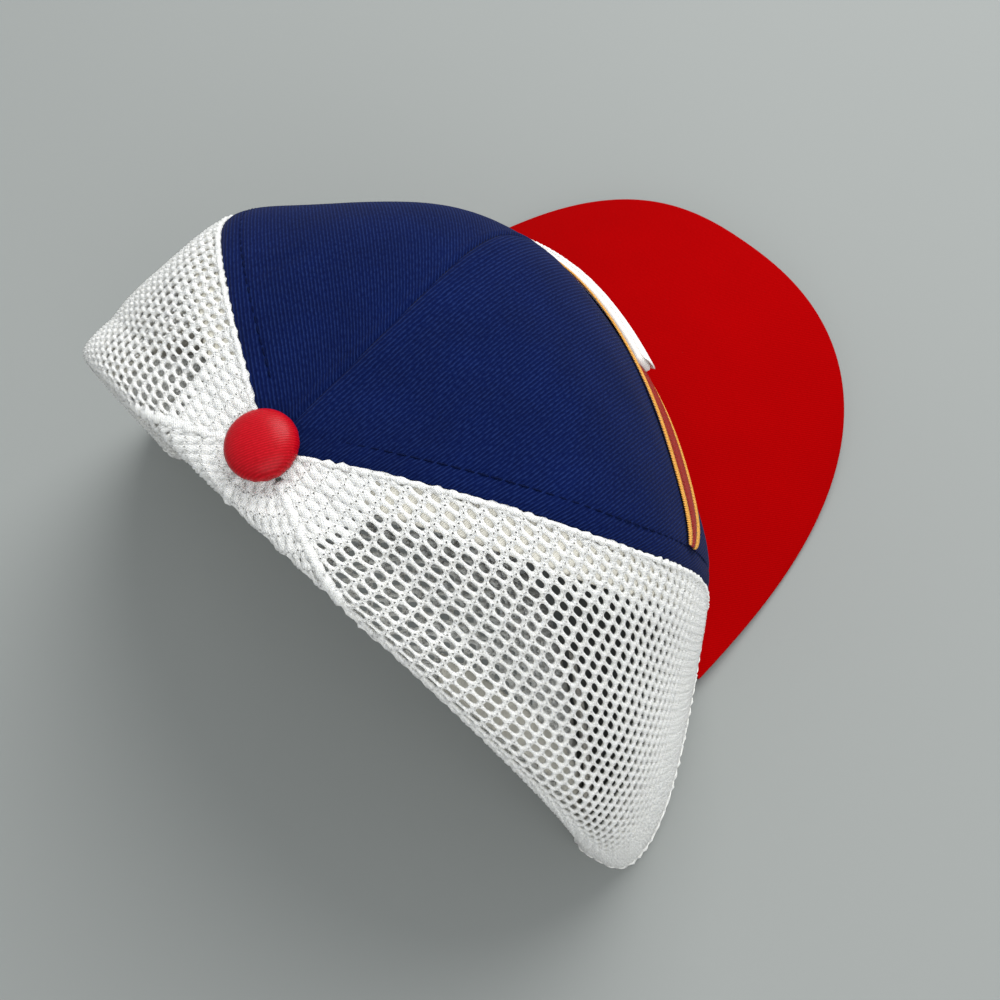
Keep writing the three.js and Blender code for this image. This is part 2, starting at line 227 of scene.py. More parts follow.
def cloth_at(azimuth, v, depth):
    """A point of the crown's cloth; depth is measured inwards from the outer face, in mm."""
    azimuth, v, depth = np.broadcast_arrays(azimuth, v, depth)
    return folded(azimuth, v) - normal_of(folded, azimuth, v) * depth[..., None]


def radius_at(azimuth, v):
    return rim_radius(azimuth) * outline_at(azimuth, v)[0]


def seat_v(azimuth):
    return 2 / math.pi * CROWN["seat"] / rim_radius(azimuth)


def v_at_z(azimuth, z):
    shape = np.shape(azimuth)
    return solve(np.full(shape, 0.2), np.ones(shape), lambda v: z - worn(azimuth, v)[..., 2])


def tip_back(points):
    """Turns points of the worn hat to the way it stands, leaning back."""
    x, y, z = np.moveaxis(np.asarray(points, float), -1, 0)
    cosine, sine = math.cos(TILT), math.sin(TILT)
    return np.stack([x, y * cosine + z * sine, z * cosine - y * sine], -1)


def standing_shift():
    """How far the tipped hat moves to the frame's origin, read from the frame's brim, in mm."""
    low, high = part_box("brim")
    far = -(CROWN["front"] + BRIM["projection"])
    slope = math.radians(BRIM["slope"])
    drops = np.array([BRIM["edge_round"], BRIM["thickness"] - BRIM["edge_round"]])
    height = brim_z(0, far)
    tips = np.stack([drops * 0, far + drops * math.sin(slope), height - drops * math.cos(slope)], -1)
    back = cloth_at(np.array([0.0]), np.array([1.0]), -GAP)
    back[:, 2] = brim_z(back[:, 0], back[:, 1])
    return np.array([0, low.y / MM - tip_back(tips)[:, 1].min(), high.z / MM - tip_back(back)[0, 2]])


SHIFT = standing_shift()


def to_world(points, softness=0.5):
    """Millimetres of the worn hat to metres of the frame, with what reaches the ground pressed flat."""
    standing = tip_back(points) + SHIFT
    z = standing[..., 2]
    pressed = softness * np.exp(np.minimum((z - softness) / softness, 0))
    standing[..., 2] = np.where(z > softness, z, pressed)
    return standing * MM


# Flat cutting patterns of the panels

def tick(values, ticks):
    """Where values lie among rising ticks, counted in ticks and kept short of the last one."""
    return np.clip(np.interp(values, ticks, np.arange(len(ticks))), 0, len(ticks) - 1.001)


class Pattern:
    """Flat millimetres of a panel: s runs down its middle from the button and w runs across it."""

    def __init__(self, middle, first, last, steps=220):
        self.azimuths = np.radians(np.linspace(first, last, steps))
        self.levels = np.linspace(0.004, 1, steps)
        grid = worn(*np.meshgrid(self.azimuths, self.levels))
        widths = np.linalg.norm(np.diff(grid, axis=1), axis=2)
        widths = np.concatenate([np.zeros((steps, 1)), np.cumsum(widths, axis=1)], axis=1)
        centre = np.radians(middle)
        middles = np.array([np.interp(centre, self.azimuths, row) for row in widths])
        self.widths = widths - middles[:, None]
        line = worn(np.full(steps, centre), self.levels)
        lengths = np.linalg.norm(np.diff(line, axis=0), axis=1)
        self.lengths = np.concatenate([[0], np.cumsum(lengths)])

    def place(self, w, s):
        """Flat millimetres to azimuth and v."""
        v = np.interp(s, self.lengths, self.levels)
        row = tick(v, self.levels)
        upper = row.astype(int)
        share = row - upper
        ends = np.zeros(len(w)), np.full(len(w), len(self.azimuths) - 1.001)
        column = solve(*ends, lambda c: self._width(upper, share, c) - w, 26)
        return np.interp(column, np.arange(len(self.azimuths)), self.azimuths), v

    def _width(self, upper, share, column):
        left = column.astype(int)
        part = column - left
        above = mix(self.widths[upper, left], self.widths[upper, left + 1], part)
        below = mix(self.widths[upper + 1, left], self.widths[upper + 1, left + 1], part)
        return mix(above, below, share)

    def flat(self, azimuth, v):
        """Azimuth and v back to flat millimetres."""
        azimuth, v = np.broadcast_arrays(azimuth, v)
        shape = azimuth.shape
        azimuth, v = azimuth.ravel(), v.ravel()
        row, column = tick(v, self.levels), tick(azimuth, self.azimuths)
        upper = row.astype(int)
        w = self._width(upper, row - upper, column)
        return w.reshape(shape), np.interp(v, self.levels, self.lengths).reshape(shape)


SIDES = (("left", 1), ("right", -1))
PATTERN_SPANS = {"front": (28, -3, 64), "side": (86, 46, 122), "back": (146, 106, 186)}


def pattern(panel, side):
    middle, first, last = PATTERN_SPANS[panel]
    return Pattern(side * middle, *sorted((side * first, side * last)))


# Settings as plain values

def settings(group):
    """The values of a group of settings, with lengths in millimetres."""
    held = getattr(bpy.context.scene, group)
    values = {}
    for name in held.__annotations__:
        value = getattr(held, name)
        values[name] = value / MM if held.bl_rna.properties[name].unit == "LENGTH" else value
    return SimpleNamespace(**values)


# Helpers that make and finish meshes

def waves(x, y, seed, size):
    """Gentle unevenness of cloth: a few crossing sine waves of about the given size, from -1 to 1."""
    rng = np.random.default_rng(seed)
    total = 0
    for _ in range(7):
        angle, phase = rng.uniform(0, 2 * math.pi, 2)
        length = size * rng.uniform(0.6, 1.7)
        total = total + np.sin((x * math.cos(angle) + y * math.sin(angle)) * 2 * math.pi / length + phase)
    return total / 4


def new_object(name, points, faces, weave=None, merge=0.0):
    """A smooth mesh object from points in metres; weave holds the cloth's own millimetres."""
    mesh = bpy.data.meshes.new(name)
    mesh.from_pydata(points.tolist(), [], [list(face) for face in faces])
    if weave is not None:
        layer = mesh.attributes.new("weave", "FLOAT_VECTOR", "POINT")
        layer.data.foreach_set("vector", np.asarray(weave, np.float32).ravel())
    if merge:
        shell = bmesh.new()
        shell.from_mesh(mesh)
        bmesh.ops.remove_doubles(shell, verts=shell.verts, dist=merge)
        shell.to_mesh(mesh)
        shell.free()
    mesh.shade_smooth()
    obj = bpy.data.objects.new(name, mesh)
    bpy.context.scene.collection.objects.link(obj)
    return obj


def settle(obj, material, slot, *nodes):
    """Gives a piece its finish, the nodes it stands for and its place on the body; the slot is not used."""
    if not obj.data.materials:
        obj.data.materials.append(material)
    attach(obj, "root")
    if nodes:
        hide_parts(*nodes)
    return obj


def join(name, objects):
    """Joins finished meshes into one object under a name."""
    first = objects[0]
    if len(objects) > 1:
        with bpy.context.temp_override(active_object=first, selected_editable_objects=objects):
            bpy.ops.object.join()
    first.name = first.data.name = name
    return first


def tube_faces(rings, sides):
    """Quads between rings of points that follow each other."""
    faces = []
    for i in range(rings - 1):
        for j in range(sides):
            k = (j + 1) % sides
            faces.append((i * sides + j, i * sides + k, (i + 1) * sides + k, (i + 1) * sides + j))
    return faces


def slab(name, outer, inner, weave):
    """Closed cloth between two grids of points in metres, with the weave of the outer one on both."""
    rows, columns = outer.shape[:2]
    index = np.arange(rows * columns).reshape(rows, columns)
    under = index + rows * columns

    def quads(grid):
        corners = [grid[:-1, :-1], grid[1:, :-1], grid[1:, 1:], grid[:-1, 1:]]
        return np.stack(corners, -1).reshape(-1, 4)

    faces = [quads(index), quads(under)[:, ::-1]]
    edge = np.concatenate([index[:, 0], index[-1, 1:], index[-2::-1, -1], index[0, -2:0:-1]])
    ahead = np.roll(edge, -1)
    faces.append(np.stack([edge, edge + rows * columns, ahead + rows * columns, ahead], -1))
    points = np.concatenate([outer.reshape(-1, 3), inner.reshape(-1, 3)])
    return new_object(name, points, np.concatenate(faces), np.concatenate([weave.reshape(-1, 3)] * 2))


def cloth_slab(name, azimuth, v, depth, thickness, weave, roundness=0.0):
    """A strip of cloth laid on the crown; its edges may be rounded by pinching them to the middle."""
    pinch = np.zeros(azimuth.shape)
    for edge in (np.s_[0, :], np.s_[-1, :], np.s_[:, 0], np.s_[:, -1]):
        pinch[edge] = roundness
    half = thickness / 2
    outer = to_world(cloth_at(azimuth, v, depth + half * pinch))
    inner = to_world(cloth_at(azimuth, v, depth + thickness - half * pinch))
    return slab(name, outer, inner, weave)


# Geometry Nodes trees that repeat a small piece

def geometry_tree(name, sockets):
    """A new tree with named inputs and one geometry output."""
    tree = bpy.data.node_groups.new(name, "GeometryNodeTree")
    tree.interface.new_socket("Geometry", in_out="OUTPUT", socket_type="NodeSocketGeometry")
    for title, kind, default in sockets:
        socket = tree.interface.new_socket(title, in_out="INPUT", socket_type=f"NodeSocket{kind}")
        if default is not None:
            socket.default_value = default
    return tree, add_node(tree, "NodeGroupInput").outputs


def feed(tree, node, inputs):
    """Sets a node's inputs, each to a value, to an output or to the first output of another node."""
    for key, value in inputs.items():
        if isinstance(value, bpy.types.Node):
            value = value.outputs[0]
        if isinstance(value, bpy.types.NodeSocket):
            tree.links.new(value, node.inputs[key])
        else:
            node.inputs[key].default_value = value


def add_node(tree, kind, inputs=None, **options):
    """Adds a node with its options and inputs."""
    made = tree.nodes.new(kind)
    for key, value in options.items():
        setattr(made, key, value)
    feed(tree, made, inputs or {})
    return made


def finish_tree(tree, instances, material):
    realized = add_node(tree, "GeometryNodeRealizeInstances", {"Geometry": instances})
    painted = add_node(tree, "GeometryNodeSetMaterial", {"Geometry": realized, "Material": material})
    add_node(tree, "NodeGroupOutput", {"Geometry": painted})
    return tree


def net_tree():
    """Cells of a net in a flat grid, with every other row moved by half a pitch."""
    tree, given = geometry_tree("Perforated net", [
        ("Columns", "Int", 10), ("Rows", "Int", 10),
        ("Pitch across", "Float", 2.2), ("Pitch down", "Float", 3.4),
        ("Cell", "Object", None), ("Finish", "Material", None),
    ])
    spans = []
    for count, pitch in (("Columns", "Pitch across"), ("Rows", "Pitch down")):
        steps = add_node(tree, "ShaderNodeMath", {0: given[count], 1: 1.0}, operation="SUBTRACT")
        spans.append(add_node(tree, "ShaderNodeMath", {0: steps, 1: given[pitch]}, operation="MULTIPLY"))
    width, length = spans
    grid = add_node(tree, "GeometryNodeMeshGrid", {
        "Size X": width, "Size Y": length, "Vertices X": given["Columns"], "Vertices Y": given["Rows"],
    })
    place = add_node(tree, "ShaderNodeSeparateXYZ", {0: add_node(tree, "GeometryNodeInputPosition")})
    middle = add_node(tree, "ShaderNodeMath", {0: length, 1: 0.5}, operation="MULTIPLY")
    from_end = add_node(tree, "ShaderNodeMath", {0: place.outputs["Y"], 1: middle}, operation="ADD")
    row = add_node(tree, "ShaderNodeMath", {0: from_end, 1: given["Pitch down"]}, operation="DIVIDE")
    number = add_node(tree, "ShaderNodeMath", {0: row}, operation="ROUND")
    odd = add_node(tree, "ShaderNodeMath", {0: number, 1: 2.0}, operation="FLOORED_MODULO")
    half = add_node(tree, "ShaderNodeMath", {0: given["Pitch across"], 1: 0.5}, operation="MULTIPLY")
    shift = add_node(tree, "ShaderNodeMath", {0: odd, 1: half}, operation="MULTIPLY")
    offset = add_node(tree, "ShaderNodeCombineXYZ", {"X": shift})
    bricks = add_node(tree, "GeometryNodeSetPosition", {"Geometry": grid, "Offset": offset})
    cell = add_node(tree, "GeometryNodeObjectInfo", {"Object": given["Cell"]}).outputs["Geometry"]
    placed = add_node(tree, "GeometryNodeInstanceOnPoints", {"Points": bricks, "Instance": cell})
    return finish_tree(tree, placed, given["Finish"])


def row_tree():
    """Copies of one stitch or thread along a straight line, each turned and sized a little by chance."""
    tree, given = geometry_tree("Row of stitches", [
        ("Count", "Int", 10), ("Spacing", "Float", 1.0), ("Turn", "Float", 0.0), ("Unevenness", "Float", 0.0),
        ("Seed", "Int", 0), ("Stitch", "Object", None), ("Finish", "Material", None),
    ])
    spacing = add_node(tree, "ShaderNodeCombineXYZ", {"X": given["Spacing"]})
    line = add_node(tree, "GeometryNodeMeshLine", {"Count": given["Count"], "Offset": spacing})
    chances = []
    for middle, spread in ((0.0, given["Turn"]), (1.0, given["Unevenness"])):
        least = add_node(tree, "ShaderNodeMath", {0: middle, 1: spread}, operation="SUBTRACT")
        most = add_node(tree, "ShaderNodeMath", {0: middle, 1: spread}, operation="ADD")
        between = {2: least, 3: most, "Seed": given["Seed"]}
        chances.append(add_node(tree, "FunctionNodeRandomValue", between, data_type="FLOAT").outputs[1])
    angles = add_node(tree, "ShaderNodeCombineXYZ", {"Z": chances[0]})
    stitch = add_node(tree, "GeometryNodeObjectInfo", {"Object": given["Stitch"]}).outputs["Geometry"]
    placed = add_node(tree, "GeometryNodeInstanceOnPoints", {
        "Points": line, "Instance": stitch, "Rotation": angles, "Scale": chances[1],
    })
    return finish_tree(tree, placed, given["Finish"])


def repeated(tree, values):
    """Runs a tree on an empty mesh and gives the flat points and the faces that it makes."""
    holder = bpy.data.objects.new("holder", bpy.data.meshes.new("holder"))
    bpy.context.scene.collection.objects.link(holder)
    modifier = holder.modifiers.new("Repeat", "NODES")
    modifier.node_group = tree
    for item in tree.interface.items_tree:
        if item.item_type == "SOCKET" and item.in_out == "INPUT":
            modifier[item.identifier] = values[item.name]
    evaluated = holder.evaluated_get(bpy.context.evaluated_depsgraph_get())
    mesh = bpy.data.meshes.new_from_object(evaluated)
    points = np.zeros(len(mesh.vertices) * 3)
    mesh.vertices.foreach_get("co", points)
    corners = np.zeros(len(mesh.loops), int)
    mesh.loops.foreach_get("vertex_index", corners)
    bpy.data.objects.remove(holder)
    bpy.data.meshes.remove(mesh)
    return points.reshape(-1, 3), corners.reshape(-1, 4)


def hidden_part(name, points, faces):
    """A small mesh that a tree repeats and that is removed afterwards."""
    mesh = bpy.data.meshes.new(name)
    mesh.from_pydata([tuple(p) for p in points], [], [tuple(f) for f in faces])
    obj = bpy.data.objects.new(name, mesh)
    bpy.context.scene.collection.objects.link(obj)
    return obj


def row_of(shape, count, spacing, finish, seed=1, wobble=0.0):
    """Copies of a small shape in a straight row; wobble is how far chance turns and resizes each."""
    part = hidden_part("part", *shape)
    made = repeated(row_tree(), {
        "Count": count, "Spacing": float(spacing), "Turn": wobble, "Unevenness": wobble, "Seed": seed,
        "Stitch": part, "Finish": finish_named(finish),
    })
    bpy.data.objects.remove(part)
    return made


def rod(length, width, height, sections=5, sides=6, arch=0.6):
    """A bowed thread along X with rounded ends, made of quads only."""
    points = []
    for i in range(sections + 1):
        along = i / sections * 2 - 1
        thin = max(math.sqrt(max(1 - abs(along) ** 4, 0)), 0.25)
        lift = height * arch * (1 - along**2)
        for j in range(sides):
            angle = 2 * math.pi * j / sides
            y, z = math.cos(angle) * width / 2 * thin, math.sin(angle) * height / 2 * thin + lift
            points.append((along * length / 2, y, z))
    faces = tube_faces(sections + 1, sides)
    for ring, turn in ((0, -1), (sections * sides, 1)):
        for quad in ((0, 1, 2, 3), (0, 3, 4, 5)):
            faces.append(tuple(ring + k for k in quad[::turn]))
    return points, faces


# Finishes

def linear(hex_colour):
    """An sRGB hex colour as linear red, green, blue and alpha."""
    parts = [int(hex_colour[i : i + 2], 16) / 255 for i in (1, 3, 5)]
    return tuple(c / 12.92 if c <= 0.04045 else ((c + 0.055) / 1.055) ** 2.4 for c in parts) + (1.0,)


# A wave texture of scale 1 repeats after this length
WAVE_PERIOD = math.pi / 10


def new_material(name, **shader):
    """A Principled material; numbers that are the same all over go on the shader's own sockets."""
    material = bpy.data.materials.new(name)
    material.use_nodes = True
    tree = material.node_tree
    tree.nodes.clear()
    inputs = {key.replace("_", " ").title().replace("Ior", "IOR"): value for key, value in shader.items()}
    principled = add_node(tree, "ShaderNodeBsdfPrincipled", inputs)
    add_node(tree, "ShaderNodeOutputMaterial", {"Surface": principled.outputs[0]})
    return material, tree, principled


def ribs(tree, coordinates, pitch, angle, wobble):
    """A diagonal rib pattern, 0 in the grooves and 1 on the ribs, with a pitch in mm."""
    turned = add_node(tree, "ShaderNodeMapping", {"Vector": coordinates, "Rotation": (0, 0, angle)})
    wave = add_node(tree, "ShaderNodeTexWave", {
        "Vector": turned, "Scale": WAVE_PERIOD / pitch, "Distortion": wobble,
        "Detail": 1.0, "Detail Scale": 1.5,
    }, bands_direction="X", wave_profile="SIN")
    return wave.outputs["Fac"], turned


def twill(name, ground, rib, fleck, pitch, angle, relief, cloudiness=0.12, **shader):
    """Twill: yarn ribs that run diagonally, with painted shade in the grooves between them and small light
    flecks of painted highlight mixed with random yarn tone.
    """
    material, tree, principled = new_material(name, **shader)
    weave = add_node(tree, "ShaderNodeAttribute", attribute_name="weave").outputs["Vector"]
    rib_height, along = ribs(tree, weave, pitch, angle, 0.6)
    stretched = add_node(tree, "ShaderNodeMapping", {"Vector": along, "Scale": (1.6 / pitch, 0.8 / pitch, 1)})
    yarn = add_node(tree, "ShaderNodeTexNoise", {"Vector": stretched, "Scale": 1.0, "Detail": 3.0})
    cloud = add_node(tree, "ShaderNodeTexNoise", {"Vector": weave, "Scale": 0.06, "Detail": 2.0})
    # Painted shading: low in the grooves and on dark yarn noise, high on the ribs and on light yarn noise
    shade = add_node(tree, "ShaderNodeMath", {0: rib_height, 1: 0.46}, operation="MULTIPLY")
    shade = add_node(tree, "ShaderNodeMath", {0: yarn, 1: 0.88, 2: shade}, operation="MULTIPLY_ADD")
    # The ramp paints shade in the grooves, the rib colour between, and a painted highlight on the lightest
    # flecks
    ramp = add_node(tree, "ShaderNodeValToRGB", {"Fac": shade})
    ramp.color_ramp.elements.new(0.95)
    for element, position, shown in zip(ramp.color_ramp.elements, (0.3, 0.72, 0.95), (ground, rib, fleck)):
        element.position, element.color = position, shown
    worn_tone = add_node(tree, "ShaderNodeMapRange", {
        "Value": cloud, "From Min": 0.3, "From Max": 0.7, "To Min": 1 - cloudiness, "To Max": 1 + cloudiness,
    })
    tinted = add_node(tree, "ShaderNodeVectorMath", {0: ramp, "Scale": worn_tone}, operation="SCALE")
    height = add_node(tree, "ShaderNodeMath", {0: yarn, 1: 0.6, 2: rib_height}, operation="MULTIPLY_ADD")
    bump = add_node(tree, "ShaderNodeBump", {"Height": height, "Distance": relief * MM, "Strength": 1.0})
    feed(tree, principled, {"Base Color": tinted, "Normal": bump})
    return material


def knit(name, ground, light, loop, relief, **shader):
    """Knitted or plied yarn: tiny loops in two directions, fuzz, and painted shade in the hollows that turns
    to a painted highlight on the raised loops.
    """
    material, tree, principled = new_material(name, **shader)
    weave = add_node(tree, "ShaderNodeAttribute", attribute_name="weave").outputs["Vector"]
    one, other = (ribs(tree, weave, loop, math.radians(turn), 2.5)[0] for turn in (34, -34))
    loops = add_node(tree, "ShaderNodeMath", {0: one, 1: other}, operation="MULTIPLY")
    fuzz = add_node(tree, "ShaderNodeTexNoise", {
        "Vector": weave, "Scale": 3.2, "Detail": 4.0, "Roughness": 0.7,
    })
    height = add_node(tree, "ShaderNodeMath", {0: fuzz, 1: 1.1, 2: loops}, operation="MULTIPLY_ADD")
    # Painted light: the hollows of the loops and fuzz take the shade colour, the raised yarn takes the
    # highlight colour
    tone = add_node(tree, "ShaderNodeMapRange", {"Value": height, "From Min": 0.35, "From Max": 1.3})
    shades = add_node(tree, "ShaderNodeValToRGB", {"Fac": tone})
    for element, shown in zip(shades.color_ramp.elements, (ground, light)):
        element.color = shown
    bump = add_node(tree, "ShaderNodeBump", {"Height": height, "Distance": relief * MM, "Strength": 1.0})
    feed(tree, principled, {"Base Color": shades, "Normal": bump})
    return material


def navy_cotton_twill(name, look):
    """Steep cotton twill: matt with a faint sheen, painted shade in its grooves and bluish painted highlight
    flecks on its ribs.
    """
    return twill(name, look.navy_groove, look.navy_rib, look.navy_fleck, look.twill_pitch, look.twill_angle,
                 0.14, roughness=0.9, specular_ior_level=0.06, sheen_weight=0.02, sheen_roughness=0.4)


def red_cotton_twill(name, look):
    """Fine dyed twill stretched over a stiff board: nearly smooth, matt and very even."""
    return twill(name, look.red_groove, look.red_rib, look.red_fleck, 0.6, math.radians(30), 0.03, 0.02,
                 roughness=0.85, specular_ior_level=0.01)


def red_satin_twill(name, look):
    """The same cloth drawn tight over the button's shell, which gives it a soft gloss."""
    return twill(name, look.button_groove, look.button_rib, look.button_fleck, 0.55, math.radians(30), 0.015,
                 0.05, roughness=0.36, specular_ior_level=0.13)


def white_polyester_net(name, look):
    """Textured polyester yarn: bright, slightly fuzzy, light passes into it."""
    return knit(name, look.net_shade, look.net_light, 0.55, 0.26,
                roughness=0.75, specular_ior_level=0.3, sheen_weight=0.2, sheen_roughness=0.5,
                subsurface_weight=0.5, subsurface_scale=1.0, subsurface_radius=(4 * MM, 3.8 * MM, 3.4 * MM))


def white_cotton_tape(name, look):
    """Woven tape behind the seams: cream, with a fine diagonal rib."""
    return twill(name, look.tape_groove, look.tape_rib, look.tape_rib, 0.7, math.radians(50), 0.12,
                 roughness=0.85, specular_ior_level=0.1)


def grey_cotton_band(name, look):
    """Folded cotton sweatband: a light warm grey, dull and even."""
    return twill(name, look.band_groove, look.band_rib, look.band_fleck, 0.6, 0, 0.1,
                 roughness=0.92, specular_ior_level=0.1)


def moulded_white_plastic(name, look):
    """Injection-moulded polyethylene: waxy and a little see-into."""
    material, tree, principled = new_material(
        name, roughness=0.38, ior=1.51, base_color=look.plastic,
        subsurface_weight=0.3, subsurface_radius=(2 * MM, 2 * MM, 2 * MM),
    )
    place = add_node(tree, "ShaderNodeTexCoord").outputs["Object"]
    grain = add_node(tree, "ShaderNodeTexNoise", {"Vector": place, "Scale": 1800.0, "Detail": 2.0})
    bump = add_node(tree, "ShaderNodeBump", {"Height": grain, "Distance": 0.02 * MM})
    feed(tree, principled, {"Normal": bump})
    return material


FINISHES = {
    "Navy cotton twill": navy_cotton_twill,
    "Red cotton twill": red_cotton_twill,
    "Red satin twill": red_satin_twill,
    "White polyester net": white_polyester_net,
    "White cotton tape": white_cotton_tape,
    "Grey cotton band": grey_cotton_band,
    "Moulded white plastic": moulded_white_plastic,
}
# Rayon embroidery thread is glossy, spun sewing thread is duller: colour, roughness and gloss
THREAD_FINISHES = {
    "Gold rayon thread": ("gold", 0.34, 0.4),
    "Dark red rayon thread": ("dark_red", 0.36, 0.3),
    "White rayon thread": ("white_thread", 0.4, 0.5),
    "Navy sewing thread": ("navy_thread", 0.9, 0.05),
    "White sewing thread": ("white_sewing", 0.6, 0.4),
}


def finish_named(name):
    """A finish by name, made once and then shared."""
    made = bpy.data.materials.get(name)
    if made:
        return made
    look = settings("hat_finish")
    if name in FINISHES:
        return FINISHES[name](name, look)
    dye, roughness, gloss = THREAD_FINISHES[name]
    shades = getattr(look, dye), getattr(look, f"{dye}_light")
    return knit(name, *shades, 0.28, 0.05, roughness=roughness, specular_ior_level=gloss)


# Lines on the crown that stitches and edgings follow

class Route:
    """A line on the crown, given by the azimuth and v of points along it."""

    def __init__(self, azimuth, v):
        self.azimuth, self.v = np.broadcast_arrays(np.asarray(azimuth, float), np.asarray(v, float))
        steps = np.linalg.norm(np.diff(cloth_at(self.azimuth, self.v, 0.0), axis=0), axis=1)
        self.lengths = np.concatenate([[0], np.cumsum(steps)])
        self.length = self.lengths[-1]

    def at(self, x):
        return np.interp(x, self.lengths, self.azimuth), np.interp(x, self.lengths, self.v)

    def lay(self, points, depth):
        """Points of x along the line, y beside it and z outwards, set on the cloth."""
        x, y, z = points.T
        centre = cloth_at(*self.at(x), depth)
        ahead = cloth_at(*self.at(x + 0.4), depth) - cloth_at(*self.at(x - 0.4), depth)
        normal = normal_of(folded, *self.at(x))
        side = np.cross(normal, ahead)
        side /= np.linalg.norm(side, axis=1, keepdims=True)
        return centre + side * y[:, None] + normal * z[:, None]


def edging(route, width, height, depth, seed, roughness=0.3, sides=8, step=0.8):
    """A soft rolled edge along a route, uneven as sewn cloth is."""
    count = int(route.length / step)
    x = np.linspace(0, route.length, count)
    angle = np.arange(sides) * 2 * math.pi / sides
    uneven = 1 + roughness * waves(x[:, None], angle[None] * 2, seed, 2.6)
    y = np.cos(angle) * width / 2 * uneven
    z = np.sin(angle) * height / 2 * uneven
    points = np.stack([np.broadcast_to(x[:, None], y.shape), y, z], -1).reshape(-1, 3)
    faces = tube_faces(count, sides)
    faces.append(tuple(range(sides))[::-1])
    faces.append(tuple((count - 1) * sides + j for j in range(sides)))
    weave = np.stack([points[:, 0], points[:, 1] + points[:, 2], points[:, 2]], -1)
    return new_object("edging", to_world(route.lay(points, depth)), faces, weave)


def stitches(route, length, pitch, width, height, depth, finish, seed):
    """A row of sewn stitches along a route."""
    count = int((route.length - pitch) / pitch)
    points, faces = row_of(rod(length, width, height, arch=0.7), count, pitch, finish, seed, 0.05)
    points[:, 0] += pitch
    made = new_object("stitches", to_world(route.lay(points, depth)), faces, points)
    made.data.materials.append(finish_named(finish))
    return made


def seam_route(side, offset, start=0.06, end=1.0):
    """A line beside the seam between front and side panels; a positive offset is on the side panel."""
    v = np.linspace(start, end, 160)
    seam = front_seam(v)
    return Route(side * (seam + offset / radius_at(seam, v)), v)


def upright_route(azimuth, offset, start, end):
    v = np.linspace(start, end, 160)
    return Route(azimuth + offset / radius_at(azimuth, v), v)


def rim_route(first, last, v=1.0):
    azimuth = np.linspace(first, last, 200)
    return Route(azimuth, np.full(200, v))


def net_rim(side, margin):
    """First and last azimuth of the net's rim on one side, from the front seam to the arch."""
    return sorted((side * (front_seam(1.0) + margin), side * (math.pi - math.radians(ARCH["half_angle"]))))


def arch_end(azimuth):
    """Lower end of the back panels, which rise over the arch above the strap."""
    from_centre = np.clip((180 - np.degrees(np.abs(azimuth))) / ARCH["half_angle"], 0, 1)
    return 1 - (1 - ARCH["top"]) * np.sqrt(1 - from_centre**2)


# Front panels

# Grid of a panel, its gap at the seams, and the widths over which its cloth rolls in or steps up
PANEL = {
    "rows": 86, "columns": 80, "crowding": 0.6, "hairline": 0.03, "centre_roll": 0.6, "side_roll": 0.9,
    "allowance_step": 1.2, "stitch_groove": 0.8, "ripple_size": 26, "least_wall": 0.6,
}
# A pressed crease in the left panel, in the panel's flat millimetres
CREASE = {"start": (16.0, 46.0), "way": (-0.86, 0.5), "depth": 0.5, "width": 0.9, "length": 11}


def panel_depth(look, side, from_centre, from_side, w, s):
    """How far the twill lies below the crown's outer face at its seams, stitches, crease and ripples."""
    centre_roll = 0.5 * np.exp(-((from_centre / PANEL["centre_roll"]) ** 2))
    turned_in = look.seam_turn * (centre_roll + np.exp(-((from_side / PANEL["side_roll"]) ** 2)))
    # The allowances lie on one side of the centre seam, so that side stands a little prouder
    allowance = look.allowance_width if side < 0 else look.allowance_width * 0.5
    step = PANEL["allowance_step"]
    raised = look.allowance_rise * (smooth(from_centre / step) - smooth((from_centre - allowance) / step))
    row = np.exp(-(((from_side - look.topstitch_inset) / PANEL["stitch_groove"]) ** 2)) * look.topstitch_sink
    crease = crease_depth(w, s) if side > 0 else 0
    ripple = look.ripple * waves(w, s, 3 + side, PANEL["ripple_size"])
    return turned_in - raised + row + crease + ripple * smooth(from_centre / 6) * smooth(from_side / 5)


def build_front_panel(side_name, side):
    """Navy twill between the centre seam and a side seam, turned in at its seams."""
    down = np.linspace(0, 1, PANEL["rows"])[:, None]
    across = np.linspace(0, 1, PANEL["columns"])[None]
    across = mix(across, smooth(across), PANEL["crowding"])
    limit = math.radians(SEAM["side_top"]) * across
    v = mix(seat_v(limit), 1, down)
    radius = radius_at(limit, v)
    seam = side_seam(outline_at(limit, v)[2])
    hairline = PANEL["hairline"] / radius
    azimuth = mix(hairline, seam - hairline, across)
    w, s = pattern("front", side).flat(side * azimuth, v)
    depth = panel_depth(settings("hat_cloth"), side, azimuth * radius, (seam - azimuth) * radius, w, s)
    azimuth = side * azimuth
    weave = np.stack([w, s, 0 * w], -1)
    if side < 0:
        azimuth, v, depth, weave = azimuth[:, ::-1], v[:, ::-1], depth[:, ::-1], weave[:, ::-1]
    outer = to_world(cloth_at(azimuth, v, depth))
    inner = to_world(cloth_at(azimuth, v, np.maximum(WALL["twill"], depth + PANEL["least_wall"])))
    return slab(f"front_panel_{side_name}_twill", outer, inner, weave)


def crease_depth(w, s):
    """A short pressed crease that runs from the seam into the left front panel."""
    start, way = CREASE["start"], CREASE["way"]
    along = (w - start[0]) * way[0] + (s - start[1]) * way[1]
    beside = (w - start[0]) * way[1] - (s - start[1]) * way[0]
    ends = smooth(along / 3 + 1) * smooth((CREASE["length"] - along) / 4)
    return CREASE["depth"] * np.exp(-((beside / CREASE["width"]) ** 2)) * ends


# Net panels

# Shape of a cell: how square its hole is, and how far its lips lie in, as a share of the thickness
CELL = {"squareness": 2.6, "lip": 0.26}
# Sizes of the net's unevenness in mm: rows that wander, bumps, and where holes close up
NET_WAVES = {"wander": 13, "puff": 2.4, "felt": 9, "turned_in": 6, "holes": 6}


